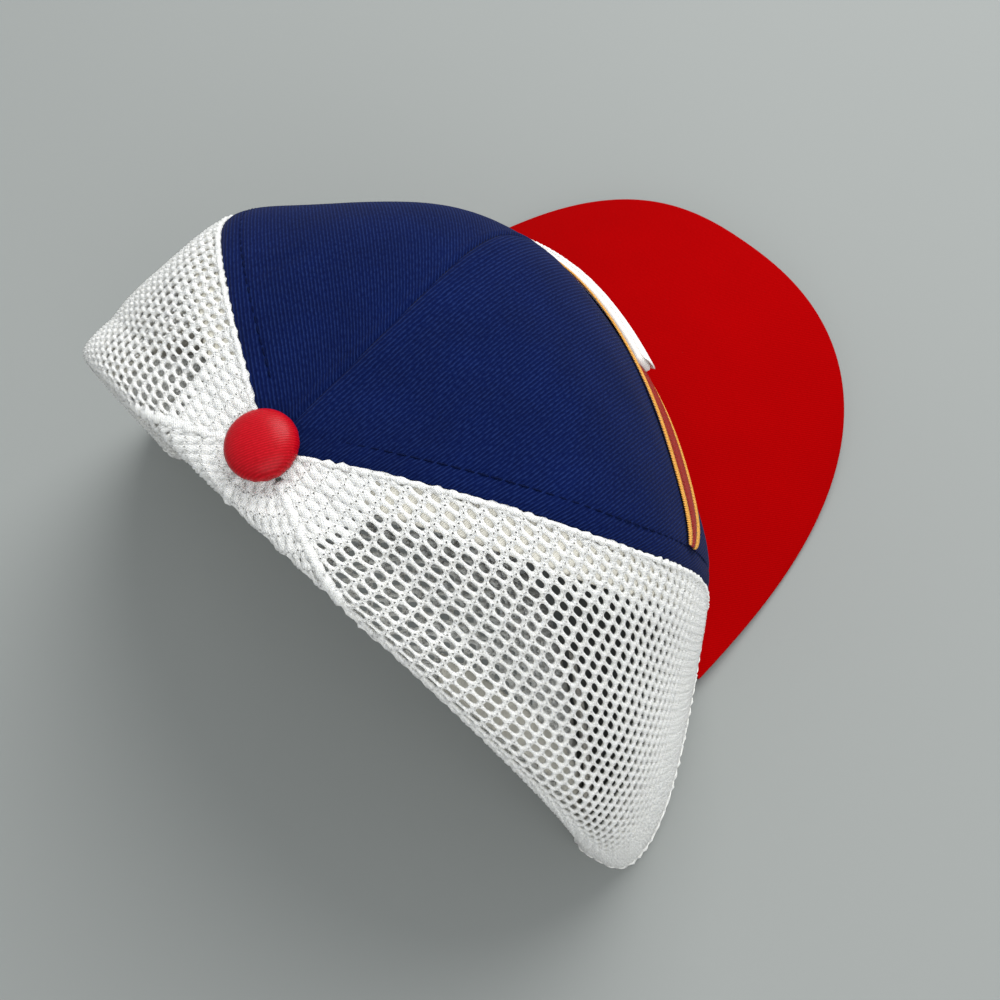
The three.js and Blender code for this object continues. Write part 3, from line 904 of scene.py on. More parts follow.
def cell_outline(look):
    """Outline of a cell and how deep each point lies: two at each cut corner and one between corners."""
    half, down = look.pitch_across / 2, look.pitch_down
    peak = (down**2 + half**2) / (2 * down)
    low = down - peak
    corners = np.array([(half, low), (0, peak), (-half, low), (-half, -low), (0, -peak), (half, -low)])
    outline = []
    for corner, before, after in zip(corners, np.roll(corners, 1, axis=0), np.roll(corners, -1, axis=0)):
        for neighbour in (before, after):
            way = (neighbour - corner) / np.linalg.norm(neighbour - corner)
            outline.append(corner + way * look.pinhole)
        outline.append((corner + after) / 2)
    return np.array(outline), np.array([-1, -1, 1] * len(corners)) * look.yarn_relief


def net_cell(look):
    """One hole of the net and the yarn round it, as rings of points from the outer face to the inner.

    The corners are cut, so that where three cells meet a pinhole stays between their yarns.
    """
    outline, sunk = cell_outline(look)
    reach = np.array([look.hole_width, look.hole_length]) / 2
    shares = np.abs(outline / reach) ** CELL["squareness"]
    hole = outline * (shares.sum(axis=1) ** (-1 / CELL["squareness"]))[:, None]
    thick = WALL["mesh"]
    lip = thick * CELL["lip"]
    rings = [(outline, sunk), (hole, lip + 0 * sunk), (hole, thick - lip + 0 * sunk), (outline, thick - sunk)]
    points = [(x, y, z) for ring, depths in rings for (x, y), z in zip(ring, depths)]
    count = len(outline)
    faces = []
    for i in range(len(rings) - 1):
        for j in range(count):
            k = (j + 1) % count
            faces.append((i * count + j, (i + 1) * count + j, (i + 1) * count + k, i * count + k))
    last = (len(rings) - 1) * count
    for first in range(0, count, 3):
        faces.append((first, first + 1, last + first + 1, last + first))
    return points, faces


def closed_up(panel, centre, azimuth, v, look):
    """How open holes are: felted shut by the button, half shut where the edge is turned in at the front."""
    w, s = centre[:, 0], centre[:, 1]
    felted = s + 3 * waves(w, s, 11, NET_WAVES["felt"])
    openness = mix(look.felted_hole, 1, smooth((felted - look.felted_reach) / 8))
    if panel == "side":
        seam = front_seam(v)
        from_seam = (np.abs(azimuth) - seam) * radius_at(seam, v) + waves(w, s, 15, NET_WAVES["turned_in"])
        openness = openness * mix(look.turned_in_hole, 1, smooth((from_seam - look.turned_in_width) / 2))
    return openness * (1 + 0.1 * waves(w, s, 5, NET_WAVES["holes"]))


def flat_net(panel, cut, look):
    """Points and faces of a panel's net in flat millimetres, with its holes as open as they should be."""
    cell = hidden_part("cell", *net_cell(look))
    cell_size = len(cell.data.vertices)
    reach = float(np.abs(cut.widths).max())
    length = cut.lengths[-1]
    points, faces = repeated(net_tree(), {
        "Columns": int(2 * reach / look.pitch_across) + 3, "Rows": int(length / look.pitch_down) + 3,
        "Pitch across": look.pitch_across, "Pitch down": look.pitch_down,
        "Cell": cell, "Finish": finish_named("White polyester net"),
    })
    bpy.data.objects.remove(cell)
    points[:, 1] += length / 2
    middle = points.reshape(-1, cell_size, 3).mean(axis=1)
    openness = closed_up(panel, middle, *cut.place(middle[:, 0], middle[:, 1]), look)
    centre = np.repeat(middle[:, :2], cell_size, axis=0)
    in_hole = np.tile(np.repeat([0, 1, 1, 0], cell_size // 4), len(middle))
    scale = np.where(in_hole == 1, np.repeat(openness, cell_size), 1)[:, None]
    points[:, :2] = centre + (points[:, :2] - centre) * scale
    # The rows lie further apart on the crown than at the rim
    share = points[:, 1] / length
    points[:, 1] += look.slack * length * (share - np.clip(share, 0, 1) ** 4)
    return points, faces


def net_limits(panel, turn, v):
    """First and last azimuth of a net panel, and its lower end, beside each of its points."""
    back = math.radians(SEAM["back"])
    if panel == "side":
        seam = front_seam(v)
        return seam + GAP / 2 / radius_at(seam, v), back - GAP / radius_at(back, v), np.ones(len(v))
    edge = GAP / 2 / radius_at(turn, v)
    first, last = back + edge, math.pi - edge
    return first, last, arch_end(np.clip(turn, first, last))


def build_net(panel, side_name, side):
    """A net panel: holes in a flat grid, laid on the crown and cut along the seams."""
    look = settings("hat_net")
    cut = pattern(panel, side)
    points, faces = flat_net(panel, cut, look)
    x, y, z = points.T
    wander = np.stack([waves(x, y, seed + side, NET_WAVES["wander"]) for seed in (21, 31)], -1)
    flat = points[:, :2] + look.unevenness * wander
    w, s = flat.T
    azimuth, v = cut.place(w, s)
    taut = np.clip(closed_up(panel, flat, azimuth, v, look), 0, 1)
    depth = z + mix(look.puff, 0.05, taut) * waves(x, y, 41 + side, NET_WAVES["puff"])
    turn = np.abs(azimuth)
    first, last, lower = net_limits(panel, turn, v)
    kept_turn = np.clip(turn, first, last)
    kept_v = np.clip(v, seat_v(kept_turn), lower)
    tiny = 1e-6
    beyond = (s > cut.lengths[-1] - tiny) | (s < tiny)
    cut_off = beyond | (np.abs(kept_turn - turn) > tiny) | (np.abs(kept_v - v) > tiny)
    depth = np.where(cut_off, WALL["mesh"] / 2, depth)
    placed = cloth_at(np.sign(side) * kept_turn, kept_v, depth)
    used, kept = np.unique(faces[~cut_off[faces].all(axis=1)], return_inverse=True)
    weave = np.stack([w, s, depth], -1)[used]
    name = f"{panel}_net_{side_name}"
    net = new_object(name, to_world(placed[used]), kept.reshape(-1, 4), weave, merge=0.02 * MM)
    net.data.materials.append(finish_named("White polyester net"))
    return net


# Rolled edges of the net: width, height, depth of the middle and roughness
EDGES = {
    "seam": (1.5, 1.3, 0.4, 0.55), "rim": (3.6, 2.3, 0.7, 0.3), "back": (1.4, 1.2, 0.5, 0.3),
    "crown": (2.6, 1.3, 0.35, 0.5), "arch": (1.7, 1.7, 0.6, 0.3),
}
# Distance of a back seam's two rolls from the seam, and the share of the way down where they part
BACK_ROLLS = {"apart": 0.9, "part_at": 0.3}


def build_edgings(side_name, side):
    """Rolled edges of the net panels at the seams, the rim and the arch."""
    turn = side * math.radians(SEAM["back"])
    arch = np.linspace(math.pi - math.radians(ARCH["half_angle"]), math.pi - 0.004, 120)
    middle = side * (math.pi - 1e-4)
    apart, part_at = BACK_ROLLS["apart"], BACK_ROLLS["part_at"]
    rows = [
        ("seam", seam_route(side, 0.7, 0.05), 51),
        ("rim", rim_route(*net_rim(side, 0.01)), 61),
        ("back", upright_route(turn, -apart, part_at, 1), 71),
        ("back", upright_route(turn, apart, part_at, 1), 81),
        ("crown", upright_route(turn, 0, 0.06, part_at + 0.01), 111),
        ("back", upright_route(middle, -side * apart, part_at - 0.02, ARCH["top"]), 91),
        ("arch", Route(side * arch, arch_end(arch)), 101),
    ]
    if side > 0:
        rows.append(("crown", upright_route(math.pi, 0, 0.06, part_at), 120))
    parts = []
    for kind, route, seed in rows:
        width, height, depth, roughness = EDGES[kind]
        parts.append(edging(route, width, height, depth, seed + side, roughness))
    return join(f"net_edging_{side_name}", parts)


# Tapes, sweatband and closure

# Length in mm that the weave of a strip counts from the button to the rim
WEAVE_LENGTH = 150


def strip(name, azimuth, v, depth, thickness, roundness=0.6):
    """Cloth strip with a weave that runs along its own length and width."""
    weave = np.stack([azimuth * radius_at(azimuth, v), v * WEAVE_LENGTH, 0 * v], -1)
    return cloth_slab(name, azimuth, v, depth, thickness, weave, roundness)


def tape_along(name, seam_of, edges, start, end, depth_of):
    """Tape behind a seam, between two distances from it; its depth depends on the distance."""
    v = np.linspace(start, end, 90)[:, None]
    seam = seam_of(v)
    across = np.linspace(*edges, 14)[None]
    azimuth = seam + across / radius_at(seam, v)
    v = np.broadcast_to(v, azimuth.shape)
    return strip(name, azimuth, v, depth_of(np.broadcast_to(across, azimuth.shape)), WALL["tape"])


def build_side_tape(side_name, side):
    """Tape behind a front seam; it lies against the twill on one side and against the net on the other."""
    def depth(across):
        return mix(UNDER_TWILL, WALL["mesh"] * 0.95, smooth(side * across / 2 + 0.5))

    edges = sorted(side * edge for edge in TAPE["side_edges"])
    name = f"side_tape_{side_name}_woven"
    return tape_along(name, lambda v: side * front_seam(v), edges, TAPE["side_start"], 1, depth)


def build_straight_tape(name, azimuth, start, end):
    """Tape behind one of the back seams."""
    def depth(across):
        return UNDER_MESH + 0 * across

    return tape_along(name, lambda v: azimuth + 0 * v, TAPE["back_edges"], start, end, depth)


def build_sweatband():
    """Cotton band inside the rim, with a row of stitches along its upper edge."""
    top = settings("hat_trim").sweatband_top
    last = math.pi - math.radians(SWEATBAND["end_angle"])
    azimuth = np.linspace(-last, last, 240)[None]
    v = np.linspace(top, 1, 10)[:, None]
    azimuth, v = np.broadcast_arrays(azimuth, v)
    depth = UNDER_TWILL + WALL["tape"] + GAP
    band = strip("sweatband_cotton", azimuth, v, depth, WALL["sweatband"], 0.8)
    route = rim_route(-last, last, top + SWEATBAND["stitch_inset"])
    sewn = stitches(route, 2.6, 3.4, 0.5, 0.4, depth + WALL["sweatband"], "White sewing thread", 5)
    return join("sweatband_cotton", [band, sewn])


def build_closure():
    """Moulded strap across the arch, with a row of round studs."""
    turn = math.radians(STRAP["half_angle"])
    azimuth = np.linspace(math.pi - turn, math.pi + turn, 120)[None]
    v = np.linspace(STRAP["top"], STRAP["bottom"], 12)[:, None]
    azimuth, v = np.broadcast_arrays(azimuth, v)
    strap = strip("closure_strap_moulded", azimuth, v, UNDER_MESH, WALL["strap"], 0.7)
    middle = (STRAP["top"] + STRAP["bottom"]) / 2
    studded = turn * STRAP["studded_share"]
    route = Route(np.linspace(math.pi - studded, math.pi + studded, 80), np.full(80, middle))
    spacing = route.length / (STRAP["studs"] + 1)
    stud = rod(STRAP["stud"], STRAP["stud"], 2.2, sections=6, sides=6, arch=0.0)
    points, faces = row_of(stud, STRAP["studs"], spacing, "Moulded white plastic")
    points[:, 0] += spacing
    studs = new_object("studs", to_world(route.lay(points, UNDER_MESH)), faces, points)
    return join("closure_strap_moulded", [strap, studs])


# Button and brim

def turned(name, profile, segments, gather_depth, gather_z):
    """A body of revolution about the button's axis, from a profile that starts and ends on it.

    Its wall is gathered in small folds near one height.
    """
    profile = np.array(profile)
    angle = np.arange(segments) * 2 * math.pi / segments
    rings = len(profile) - 2
    r, z = profile[1:-1, 0][:, None], profile[1:-1, 1][:, None]
    r = r * (1 + gather_depth * np.sin(angle * BUTTON["gathers"])[None] * np.exp(-((z - gather_z) ** 2)))
    body = np.stack([r * np.cos(angle), r * np.sin(angle), np.broadcast_to(z, r.shape)], -1).reshape(-1, 3)
    points = np.concatenate([body, [[0, 0, profile[0, 1]], [0, 0, profile[-1, 1]]]])
    faces = tube_faces(rings, segments)
    for j in range(segments):
        k = (j + 1) % segments
        faces.append((len(body), k, j))
        faces.append((len(body) + 1, (rings - 1) * segments + j, (rings - 1) * segments + k))
    weave = points.copy()
    points[:, 2] += CROWN["height"]
    return new_object(name, to_world(points), faces, weave)


def build_button():
    """Covered button: a dome of red twill gathered under its edge, on a short shank."""
    radius, height, edge_z = BUTTON["radius"], BUTTON["height"], BUTTON["edge_z"]
    shank, foot = BUTTON["shank_radius"], -BUTTON["shank_length"]
    profile = [(0, foot), (shank, foot), (shank, 0.5)]
    profile += [(radius * 0.8, 0.6), (radius * 0.92, 1.0), (radius * 0.98, 1.7)]
    for step in range(21):
        angle = math.pi / 2 * step / 21
        rise = (height - edge_z) * math.sin(angle) ** 0.95
        profile.append((radius * math.cos(angle) ** 0.8, edge_z + rise))
    return turned("button_covered", profile + [(0, height)], 72, gather_depth=0.012, gather_z=1.4)


# Points across the brim and along its top, the roundness of its nose, and a groove inside its edge
BRIM_GRID = {"across": 161, "along": 44, "nose": 9, "nose_round": 1.6, "crowding": 0.8}
BRIM_GROOVE = {"depth": 0.16, "place": 0.955, "width": 0.012}


def brim_section():
    """The board's section, from the crown along the top, round the nose and back: share out and depth."""
    thick = BRIM["thickness"]
    flat_end = 1 - BRIM_GRID["nose_round"] / BRIM["projection"]
    top = [(out, 0.0) for out in np.linspace(0, flat_end, BRIM_GRID["along"])]
    nose = []
    for step in range(1, BRIM_GRID["nose"]):
        angle = math.pi * step / BRIM_GRID["nose"]
        nose.append((flat_end + (1 - flat_end) * math.sin(angle) ** 0.8, thick / 2 * (1 - math.cos(angle))))
    return np.array(top + nose + [(out, float(thick)) for out, _ in reversed(top)])


def brim_spans():
    """The brim's inner and outer edge, at the same number of points from side to side."""
    far = -(CROWN["front"] + BRIM["projection"])
    power = 2 / BRIM["power"]
    end_azimuth = math.radians(BRIM["end_azimuth"])
    end = cloth_at(np.array([end_azimuth]), np.array([1.0]), -GAP)[0]
    bulge = (end[1] - BRIM["end_y"]) / (far - BRIM["end_y"])
    spread = np.linspace(-0.5, 0.5, BRIM_GRID["across"]) * math.pi * BRIM_GRID["crowding"]
    sides = np.sin(spread) / math.sin(math.pi * BRIM_GRID["crowding"] / 2)
    inner = cloth_at(sides * end_azimuth, np.ones(len(sides)), -GAP)
    angle = sides * math.acos(bulge ** (BRIM["power"] / 2))
    edge_x = BRIM["half_width"] * np.sign(angle) * np.abs(np.sin(angle)) ** power
    edge_y = mix(BRIM["end_y"], far, np.cos(angle) ** power)
    return inner, edge_x, edge_y


def build_brim():
    """Curved brim: a board covered in red twill, with a rolled edge."""
    section = brim_section()
    inner, edge_x, edge_y = brim_spans()
    out, depth = section[:, 0][None], section[:, 1][None]
    x = mix(inner[:, 0][:, None], edge_x[:, None], out)
    y = mix(inner[:, 1][:, None], edge_y[:, None], out)
    tip = smooth(out / BRIM["root_span"])
    slope = math.tan(math.radians(BRIM["slope"]))
    normal = np.stack([2 * BRIM["bend"] * x * tip, -slope * tip + 0 * x, np.ones_like(x)], -1)
    normal /= np.linalg.norm(normal, axis=-1, keepdims=True)
    # A faint hollow inside the edge, where the cover is drawn over the board
    groove = np.exp(-(((out - BRIM_GROOVE["place"]) / BRIM_GROOVE["width"]) ** 2))
    hollow = BRIM_GROOVE["depth"] * groove * (depth < BRIM["thickness"] / 2)
    points = np.stack([x, y, brim_z(x, y)], -1) - normal * (depth + hollow)[..., None]
    count, rows = x.shape
    index = np.arange(count * rows).reshape(count, rows)
    corners = [index[:-1], index[1:], np.roll(index[1:], -1, axis=1), np.roll(index[:-1], -1, axis=1)]
    faces = np.stack(corners, -1).reshape(-1, 4)[:, ::-1].tolist()
    for row, turn in ((index[0], 1), (index[-1], -1)):
        for j in range(rows // 2 - 1):
            quad = (row[j], row[j + 1], row[rows - 2 - j], row[rows - 1 - j])
            faces.append(quad[::turn])
    weave = np.stack([x, y, 0 * x], -1)
    return new_object("brim_covered", to_world(points.reshape(-1, 3)), faces, weave.reshape(-1, 3))


# Embroidered band and bars

# Embroidery threads overlap a little, slant, end unevenly and stay clear of a strip's tips
THREAD = {"overlap": 1.25, "height": 0.5, "slant": 0.9, "loose": 0.04, "tip": 0.999}


def satin(name, half_angle, place, finish, base_depth, crown_height, seed):
    """Close threads laid side by side across a strip; place gives azimuth and v from side and across."""
    pitch = settings("hat_trim").thread_pitch
    width = 2 * half_angle * CROWN["front"]
    count = int(width / pitch)
    thread = rod(1.0, pitch * THREAD["overlap"], THREAD["height"], sections=4, arch=0.0)
    points, faces = row_of(thread, count, pitch, finish, seed)
    each = len(points) // count
    start = np.repeat(np.arange(count) * pitch, each)
    along = points[:, 0] - start
    loose = np.repeat(np.random.default_rng(seed).uniform(-THREAD["loose"], THREAD["loose"], count), each)
    beside = start + points[:, 1] - width / 2 + pitch / 2 + along * pitch * THREAD["slant"]
    azimuth = beside / CROWN["front"]
    side = np.clip(azimuth / half_angle, -THREAD["tip"], THREAD["tip"])
    azimuth, v = place(side, along + 0.5 + loose * np.sign(along))
    arch = crown_height * (1 - np.abs(along * 2) ** 3)
    placed = cloth_at(azimuth, v, -(base_depth + arch + points[:, 2]))
    weave = np.stack([points[:, 1], along * 8, points[:, 2]], -1)
    made = new_object(name, to_world(placed), faces, weave)
    made.data.materials.append(finish_named(finish))
    return made


def band_place(low_share, high_share):
    """Where the bowed band lies; its top is level and its lower edge bows down between the seams."""
    half = math.radians(SEAM["side_rim"] + BAND["end_margin"])

    def place(side, across):
        azimuth = side * half
        height = mix(BAND["tip_height"], BAND["height"], np.sqrt(np.maximum(1 - side**2, 0)))
        edge = np.minimum(BAND["edge"], height * BAND["edge_share"])
        drop = mix(low_share(height, edge), high_share(height, edge), np.clip(across, 0, 1))
        return azimuth, v_at_z(azimuth, BAND["top_z"] - drop)

    return half, place


def build_band():
    """The band's gold, dark red and gold strips, each with its node, finish and slot."""
    gap = BAND["join"]
    # Each strip runs between two distances below the band's top, from the band's height h and edge e
    strips = (
        ("band_upper_gold", "band_upper_edge", "Gold rayon thread", "gold_thread",
         lambda h, e: 0 * h, lambda h, e: e - gap),
        ("band_centre_red", "band_centre", "Dark red rayon thread", "dark_red_thread",
         lambda h, e: e + gap, lambda h, e: h - e - gap),
        ("band_lower_gold", "band_lower_edge", "Gold rayon thread", "gold_thread",
         lambda h, e: h - e + gap, lambda h, e: h),
    )
    pieces = []
    for number, (name, node, finish, slot, low, high) in enumerate(strips):
        threads = satin(name, *band_place(low, high), finish, GAP + 0.25, 0.3, 7 + number)
        pieces.append((threads, node, finish, slot))
    return pieces


def build_bar(bar):
    """A raised bar: white threads over a padded core."""
    name = f"bar_{bar['name']}_white"
    half = bar["width"] / 2 / CROWN["front"]

    def place(side, across):
        up = 1 - 2 * np.clip(across, 0, 1)
        azimuth = side * half * (1 - BAR_EASE * np.abs(up) ** 3)
        return azimuth, v_at_z(azimuth, bar["z"] + up * bar["height"] / 2)

    base = GAP + WALL["stitching"] + 2 * GAP
    rise = WALL["padding"] - 0.5
    side, across = np.broadcast_arrays(np.linspace(-1, 1, 60)[None], np.linspace(0, 1, 12)[:, None])
    # The core ends just inside the threads, and is lower at its ends and edges
    azimuth, v = place(side * 0.985, mix(0.04, 0.96, across))
    crowned = rise * (1 - np.abs(across * 2 - 1) ** 4 * 0.6) * (1 - np.abs(side) ** 30 * 0.7)
    outer, inner = (to_world(cloth_at(azimuth, v, -height)) for height in (base + crowned, 0.35))
    pad = slab("padding", outer, inner, np.stack([side * 30, across * 8, 0 * side], -1))
    pad.data.materials.append(finish_named("White rayon thread"))
    threads = satin(name, half, place, "White rayon thread", base + rise * 0.45, rise * 0.55 + 0.2, 17)
    return join(name, [threads, pad])


# Topstitching

def build_topstitching(side_name, side):
    """A navy row beside the front seam."""
    look = settings("hat_cloth")
    route = seam_route(side, -look.topstitch_inset, 0.1, 0.99)
    row = stitches(route, look.stitch_length, look.stitch_pitch, 0.38, 0.3, look.topstitch_sink - 0.02,
                   "Navy sewing thread", 31 + side)
    return join(f"topstitching_{side_name}", [row])


def build_net_stitching(side_name, side):
    """A white row that closes the rim of the net."""
    route = rim_route(*net_rim(side, 0.03), 0.975)
    row = stitches(route, 2.4, 3.1, 0.5, 0.4, -0.1, "White sewing thread", 43 + side)
    return join(f"net_stitching_{side_name}", [row])


# Settings that a user may change

def length(name, description, millimetres):
    return bpy.props.FloatProperty(
        name=name, description=description, default=millimetres * MM, unit="LENGTH", precision=5,
    )


def number(name, description, default):
    return bpy.props.FloatProperty(name=name, description=description, default=default)


def colour(name, description, hex_colour):
    return bpy.props.FloatVectorProperty(
        name=name, description=description, subtype="COLOR", size=4, min=0, max=1, default=linear(hex_colour),
    )


class HatCloth(bpy.types.PropertyGroup):
    """Sizes of the front panels' seams and stitching"""

    seam_turn: length("Seam turn-in", "How deep the cloth turns in at a seam", 0.4)
    allowance_width: length("Allowance width", "Width of the raised band beside the centre seam", 3.4)
    allowance_rise: length("Allowance rise", "How far that band stands up", 0.25)
    topstitch_inset: length("Topstitch inset", "Distance of the topstitching from the seam", 4.6)
    topstitch_sink: length("Topstitch sink", "How deep the stitches pull the cloth in", 0.18)
    stitch_length: length("Stitch length", "Length of one topstitch", 2.5)
    stitch_pitch: length("Stitch pitch", "Distance from stitch to stitch", 3.0)
    ripple: length("Ripple", "Height of the cloth's gentle unevenness", 0.25)


class HatNet(bpy.types.PropertyGroup):
    """Sizes of the net's holes and yarn"""

    pitch_across: length("Pitch across", "Distance between holes across the panel", 2.3)
    pitch_down: length("Pitch down", "Distance between rows of holes", 3.7)
    hole_width: length("Hole width", "Width of a hole", 1.6)
    hole_length: length("Hole length", "Length of a hole down the panel", 2.75)
    pinhole: length("Pinhole", "How far the yarns stay apart where three cells meet", 0.3)
    yarn_relief: length("Yarn relief", "How far the yarn's crossings stand above its middles", 0.18)
    unevenness: length("Unevenness", "How far the rows wander", 0.22)
    slack: number("Slack", "How much wider apart the rows are on the crown than at the rim, as a share", 0.12)
    felted_hole: number("Felted hole", "Share of its size that a hole keeps by the button", 0.14)
    felted_reach: length("Felted reach", "Distance from the button to which holes are closed", 19)
    turned_in_hole: number("Turned-in hole", "Share of its size that a hole keeps beside the front seam", 0.8)
    turned_in_width: length("Turned-in width", "Width of the turned-in edge beside the front seam", 8.3)
    puff: length("Puff", "Height of the bumps where the net is closed up", 0.28)


class HatTrim(bpy.types.PropertyGroup):
    """Sizes of the embroidery and the sweatband"""

    thread_pitch: length("Thread pitch", "Distance between embroidery threads", 0.45)
    sweatband_top: number("Sweatband top", "Where the sweatband starts, as a share of the way down", 0.78)


class HatFinish(bpy.types.PropertyGroup):
    """Colours of cloth and thread, and the run of the navy twill"""

    # Navy twill: the groove colour is painted shade in the grooves, the fleck colour is painted highlight
    # mixed with random yarn tone
    navy_groove: colour("Navy groove", "Colour between the ribs of the navy twill", "#00082f")
    navy_rib: colour("Navy rib", "Colour of the ribs of the navy twill", "#020f3a")
    navy_fleck: colour("Navy fleck", "Colour of the lightest yarns of the navy twill", "#11204a")
    # Red twill: the groove colour is painted shade in the grooves, the fleck colour is painted highlight
    # mixed with random yarn tone
    red_groove: colour("Red groove", "Colour between the ribs of the red twill", "#810001")
    red_rib: colour("Red rib", "Colour of the ribs of the red twill", "#890001")
    red_fleck: colour("Red fleck", "Colour of the lightest yarns of the red twill", "#900103")
    # Button cloth: the groove colour is painted shade in the grooves, the fleck colour is painted highlight
    # mixed with random yarn tone
    button_groove: colour("Button groove", "Colour between the ribs of the button's cloth", "#8a0009")
    button_rib: colour("Button rib", "Colour of the ribs of the button's cloth", "#9a000e")
    button_fleck: colour("Button fleck", "Colour of the lightest yarns of the button's cloth", "#ab0818")
    net_shade: colour("Net shade", "Colour in the hollows of the net's yarn", "#e4e3da")
    net_light: colour("Net light", "Colour of the net's yarn", "#fdfcf8")
    # Tape: the groove colour is painted shade in the grooves
    tape_groove: colour("Tape groove", "Colour between the ribs of the tape", "#d4d1c7")
    tape_rib: colour("Tape rib", "Colour of the ribs of the tape", "#e7e4da")
    gold: colour("Gold", "Colour of the gold thread", "#c07f1e")
    gold_light: colour("Light gold", "Colour of the gold thread's highlights", "#e6b052")
    dark_red: colour("Dark red", "Colour of the dark red thread", "#6d0f0c")
    dark_red_light: colour("Light dark red", "Colour of the dark red thread's highlights", "#a32a1c")
    white_thread: colour("White thread", "Colour of the white embroidery thread", "#dad9d5")
    white_thread_light: colour("Light white", "Colour of that thread's highlights", "#f7f6f2")
    navy_thread: colour("Navy thread", "Colour of the navy sewing thread", "#020824")
    navy_thread_light: colour("Light navy", "Colour of that thread's highlights", "#0a1438")
    white_sewing: colour("White sewing thread", "Colour of the white sewing thread", "#d9d9d4")
    white_sewing_light: colour("Light sewing thread", "Colour of that thread's highlights", "#f4f4f0")
    # Sweatband: the groove colour is painted shade in the grooves, the fleck colour is painted highlight
    # mixed with random yarn tone
    band_groove: colour("Band groove", "Colour between the ribs of the sweatband", "#b9b5ad")
    band_rib: colour("Band rib", "Colour of the ribs of the sweatband", "#cbc7bf")
    band_fleck: colour("Band fleck", "Colour of the lightest yarns of the sweatband", "#d6d3cb")
    plastic: colour("Plastic", "Colour of the closure's strap", "#dfe0e0")
    twill_pitch: length("Twill pitch", "Distance from rib to rib of the navy twill", 0.85)
    twill_angle: bpy.props.FloatProperty(
        name="Twill angle", description="Turn of the navy ribs from the panel's middle line",
        default=math.radians(25), unit="ROTATION",
    )


class HatStage(bpy.types.PropertyGroup):
    """Floor, lights and camera"""

    floor_colour: colour("Floor", "Colour of the plain floor", "#838684")
    key_power: bpy.props.FloatProperty(
        name="Key light", description="Power of the large light above the brim", default=22.5, unit="POWER",
    )
    fill_power: bpy.props.FloatProperty(
        name="Fill light", description="Power of the light from the other side", default=9.0, unit="POWER",
    )
    surround: number("Surround", "Strength of the even light all round", 0.85)
    lens: bpy.props.FloatProperty(
        name="Lens", description="Focal length on a 36 mm frame", default=42.86, unit="CAMERA",
    )


# Operators, one for each piece or group of like pieces

class HAT_OT_front_panels(bpy.types.Operator):
    """Make the navy twill front panels"""

    bl_idname = "hat.front_panels"
    bl_label = "Front Panels"

    def execute(self, context):
        for side_name, side in SIDES:
            panel = build_front_panel(side_name, side)
            settle(panel, finish_named("Navy cotton twill"), "navy_twill", f"front_panel_{side_name}")
        return {"FINISHED"}


class HAT_OT_net_panels(bpy.types.Operator):
    """Make the white net side and back panels with their rolled edges"""

    bl_idname = "hat.net_panels"
    bl_label = "Net Panels"

    def execute(self, context):
        finish = finish_named("White polyester net")
        for side_name, side in SIDES:
            for panel in ("side", "back"):
                net = build_net(panel, side_name, side)
                settle(net, finish, "white_mesh", f"{panel}_mesh_{side_name}")
            settle(build_edgings(side_name, side), finish, "white_mesh")
        return {"FINISHED"}


class HAT_OT_tapes(bpy.types.Operator):
    """Make the woven tapes behind the seams"""

    bl_idname = "hat.tapes"
    bl_label = "Seam Tapes"

    def execute(self, context):
        tape = finish_named("White cotton tape")
        back = math.radians(SEAM["back"])
        for side_name, side in SIDES:
            settle(build_side_tape(side_name, side), tape, "white_tape", f"side_tape_{side_name}")
            name = f"back_tape_{side_name}"
            back_tape = build_straight_tape(f"{name}_woven", side * back, TAPE["back_start"], 1)
            settle(back_tape, tape, "white_tape", name)
        end = ARCH["top"] - TAPE["above_arch"]
        centre = build_straight_tape("centre_tape_woven", math.pi, TAPE["centre_start"], end)
        settle(centre, tape, "white_tape", "centre_tape")
        return {"FINISHED"}


class HAT_OT_sweatband(bpy.types.Operator):
    """Make the grey sweatband inside the rim"""

    bl_idname = "hat.sweatband"
    bl_label = "Sweatband"

    def execute(self, context):
        band = build_sweatband()
        band.data.materials[0] = finish_named("Grey cotton band")
        settle(band, finish_named("Grey cotton band"), "grey_band", "sweatband")
        return {"FINISHED"}


class HAT_OT_closure(bpy.types.Operator):
    """Make the moulded strap across the arch"""

    bl_idname = "hat.closure"
    bl_label = "Closure Strap"

    def execute(self, context):
        settle(build_closure(), finish_named("Moulded white plastic"), "white_plastic", "closure_strap")
        return {"FINISHED"}


class HAT_OT_button(bpy.types.Operator):
    """Make the covered button"""

    bl_idname = "hat.button"
    bl_label = "Button"

    def execute(self, context):
        settle(build_button(), finish_named("Red satin twill"), "red_twill", "button")
        return {"FINISHED"}


class HAT_OT_brim(bpy.types.Operator):
    """Make the curved brim"""

    bl_idname = "hat.brim"
    bl_label = "Brim"

    def execute(self, context):
        settle(build_brim(), finish_named("Red cotton twill"), "red_twill", "brim")
        return {"FINISHED"}


class HAT_OT_emblem(bpy.types.Operator):
    """Make the stitched band and the two raised bars on the front"""

    bl_idname = "hat.emblem"
    bl_label = "Band and Bars"

    def execute(self, context):
        for piece, node, finish, slot in build_band():
            settle(piece, finish_named(finish), slot, node)
        white = finish_named("White rayon thread")
        for bar in BARS:
            settle(build_bar(bar), white, "white_thread", f"emblem_bar_{bar['name']}")
        return {"FINISHED"}


class HAT_OT_topstitching(bpy.types.Operator):
    """Sew the visible rows of stitches"""

    bl_idname = "hat.topstitching"
    bl_label = "Topstitching"

    def execute(self, context):
        for side_name, side in SIDES:
            settle(build_topstitching(side_name, side), finish_named("Navy sewing thread"), "navy_twill")
            settle(build_net_stitching(side_name, side), finish_named("White sewing thread"), "white_mesh")
        return {"FINISHED"}


